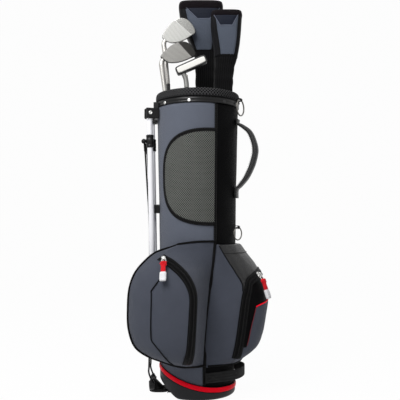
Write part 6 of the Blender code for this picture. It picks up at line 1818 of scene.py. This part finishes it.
def makeSidePocket():
    net = sideNet()
    columns = np.concatenate([np.linspace(0, 5, 110)[:-1], np.linspace(5, 7, 24)])
    rows, finishes = np.linspace(0, 9, 120), (shadedPocketCloth, blackCloth)
    pocketSkin("sidePocket", net, columns, rows, -1, paintSide, finishes, "side_pocket")
    makeZip("side", net, sidePocket["zip"], 110, -1, "side_zip_tape")
    outline, normal = onSkin(net, sidePocket["outline"], 220, -1, 0.0006)
    piping("sidePiping", outline, 0.0026, normal, 12)
    line, normal = onSkin(net, sidePocket["line"], 130, -1, 0.0003)
    piping("sideLine", line, 0.0014, normal)
    makeSlider("side", sidePocket, net, -1)
    makePull("side", sidePocket, "pull_side")
    seam = netPoint(net, 0.0, np.linspace(-0.05, 9, 80)) + np.array([0, -0.0012, 0])
    piping("pocketSeam", seam, 0.0019, (0, -1, 0), 10)


def paintBall(column, row):
    # grey gussets and lower front, leathery black above the zip arch, black above the chevron inside it
    c, r = np.broadcast_arrays(np.minimum(column, 8 - column), row)
    arch = np.interp(c, *np.array([(1.2, 5.0), *ballPocket["zip"][4:]]).T)
    chevron = np.interp(c, *np.array(ballPocket["chevron"]).T)
    gusset = np.where(r > 5.6, c < 1.0, c < 1.25)
    inside = (c > 1.36) & (r < arch)
    kind = np.where(gusset, 0, np.where(inside, np.where(r > chevron, 2, 0), 1))
    lineC = np.interp(r, *np.array(ballPocket["redLine"][::-1])[:, ::-1].T)
    return np.where(inside & (c < lineC) & (r > 2.2), 2, kind)


def makeBallPocket():
    net = ballNet()
    columns, rows, finishes = np.linspace(0, 8, 241), np.linspace(0, 9, 160), (shadedPocketCloth, coatedCloth, blackCloth)
    pocketSkin("ballPocket", net, columns, rows, 1, paintBall, finishes, "ball_pocket")
    makeZip("ball", net, acrossFront(ballPocket["zip"]), 190, 1, "ball_zip_tape")
    for label, place in (("Near", list), ("Far", farSide)):
        edge, normal = onSkin(net, place(ballPocket["gussetEdge"]), 50, 1, 0.0004)
        piping(f"ballEdge{label}", edge, 0.0013, normal)
        line, normal = onSkin(net, place(ballPocket["redLine"]), 60, 1, 0.0002)
        # the red line in its painted-shade dark red
        tube(f"ballRed{label}", line, 0.0007, shadedRedLine, "bag", "red_trim", count=8, up=normal)
    chevron, normal = onSkin(net, acrossFront(ballPocket["chevron"]), 80, 1, 0.0002)
    tube("ballChevron", chevron, 0.0016, redTrim, "bag", "red_trim", count=8, up=normal)
    crease, normal = onSkin(net, [(c, 8.35) for c in np.linspace(1.0, 7.0, 15)], 90, 1, -0.0002)
    tube("ballCrease", crease, 0.0011, coatedCloth, "bag", "black_cloth", count=8, up=normal)
    stitches("ballCreaseStitch", crease + normal * 0.0004 - upright * 0.0042, normal)
    hem, normal = onSkin(net, [(c, 0.06) for c in np.linspace(0.05, 7.95, 33)], 160, 1, 0.0004)
    piping("ballHem", hem, 0.0024, normal)
    far = netPoint(net, 8.0, np.linspace(0, 9, 80)) + np.array([0, 0.0006, 0])
    piping("farPocketSeam", far, 0.0020, (0, 1, 0), 10)
    makeSlider("ball", ballPocket, net, 1)
    makePull("ball", ballPocket, "pull_ball")


makeSidePocket()
makeBallPocket()
print("pockets sewn")

# floor and backdrop


def makeFloor():
    # one sheet: flat under the bag, then a quarter round up into the back wall
    turnBy = np.linspace(0, np.pi / 2, 12)[1:]
    start, radius, wallTop = 2.0, 1.5, 5.0
    y = np.concatenate([[-6.0, -3.0, 0.0, start], start + radius * np.sin(turnBy), [start + radius]])
    z = np.concatenate([np.zeros(4), radius - radius * np.cos(turnBy), [wallTop]])
    grid = np.stack(np.broadcast_arrays(np.linspace(-4, 4, 9)[None], y[:, None], z[:, None]), axis=-1)
    material, tree, shader = startFinish("paleFloor", 0.9, specular=0.1)
    shader.inputs["Base Color"].default_value = (0.86, 0.86, 0.86, 1)
    # where it is seen, the floor is white less a share of its own shade, so that the shadow stays
    glow = addNode(tree, "Emission", Strength=1.0)
    share = mathNode(tree, "MULTIPLY", whiteRays(tree), 0.97)
    mixed = addNode(tree, "MixShader", i0=share, i1=shader.outputs[0], i2=glow.outputs[0])
    tree.links.new(mixed.outputs[0], tree.nodes["Material Output"].inputs["Surface"])
    size = grid.shape[:2]
    smoothMesh("floor", grid, quadFaces(quadCorners(*size), *size).tolist(), material)


makeFloor()
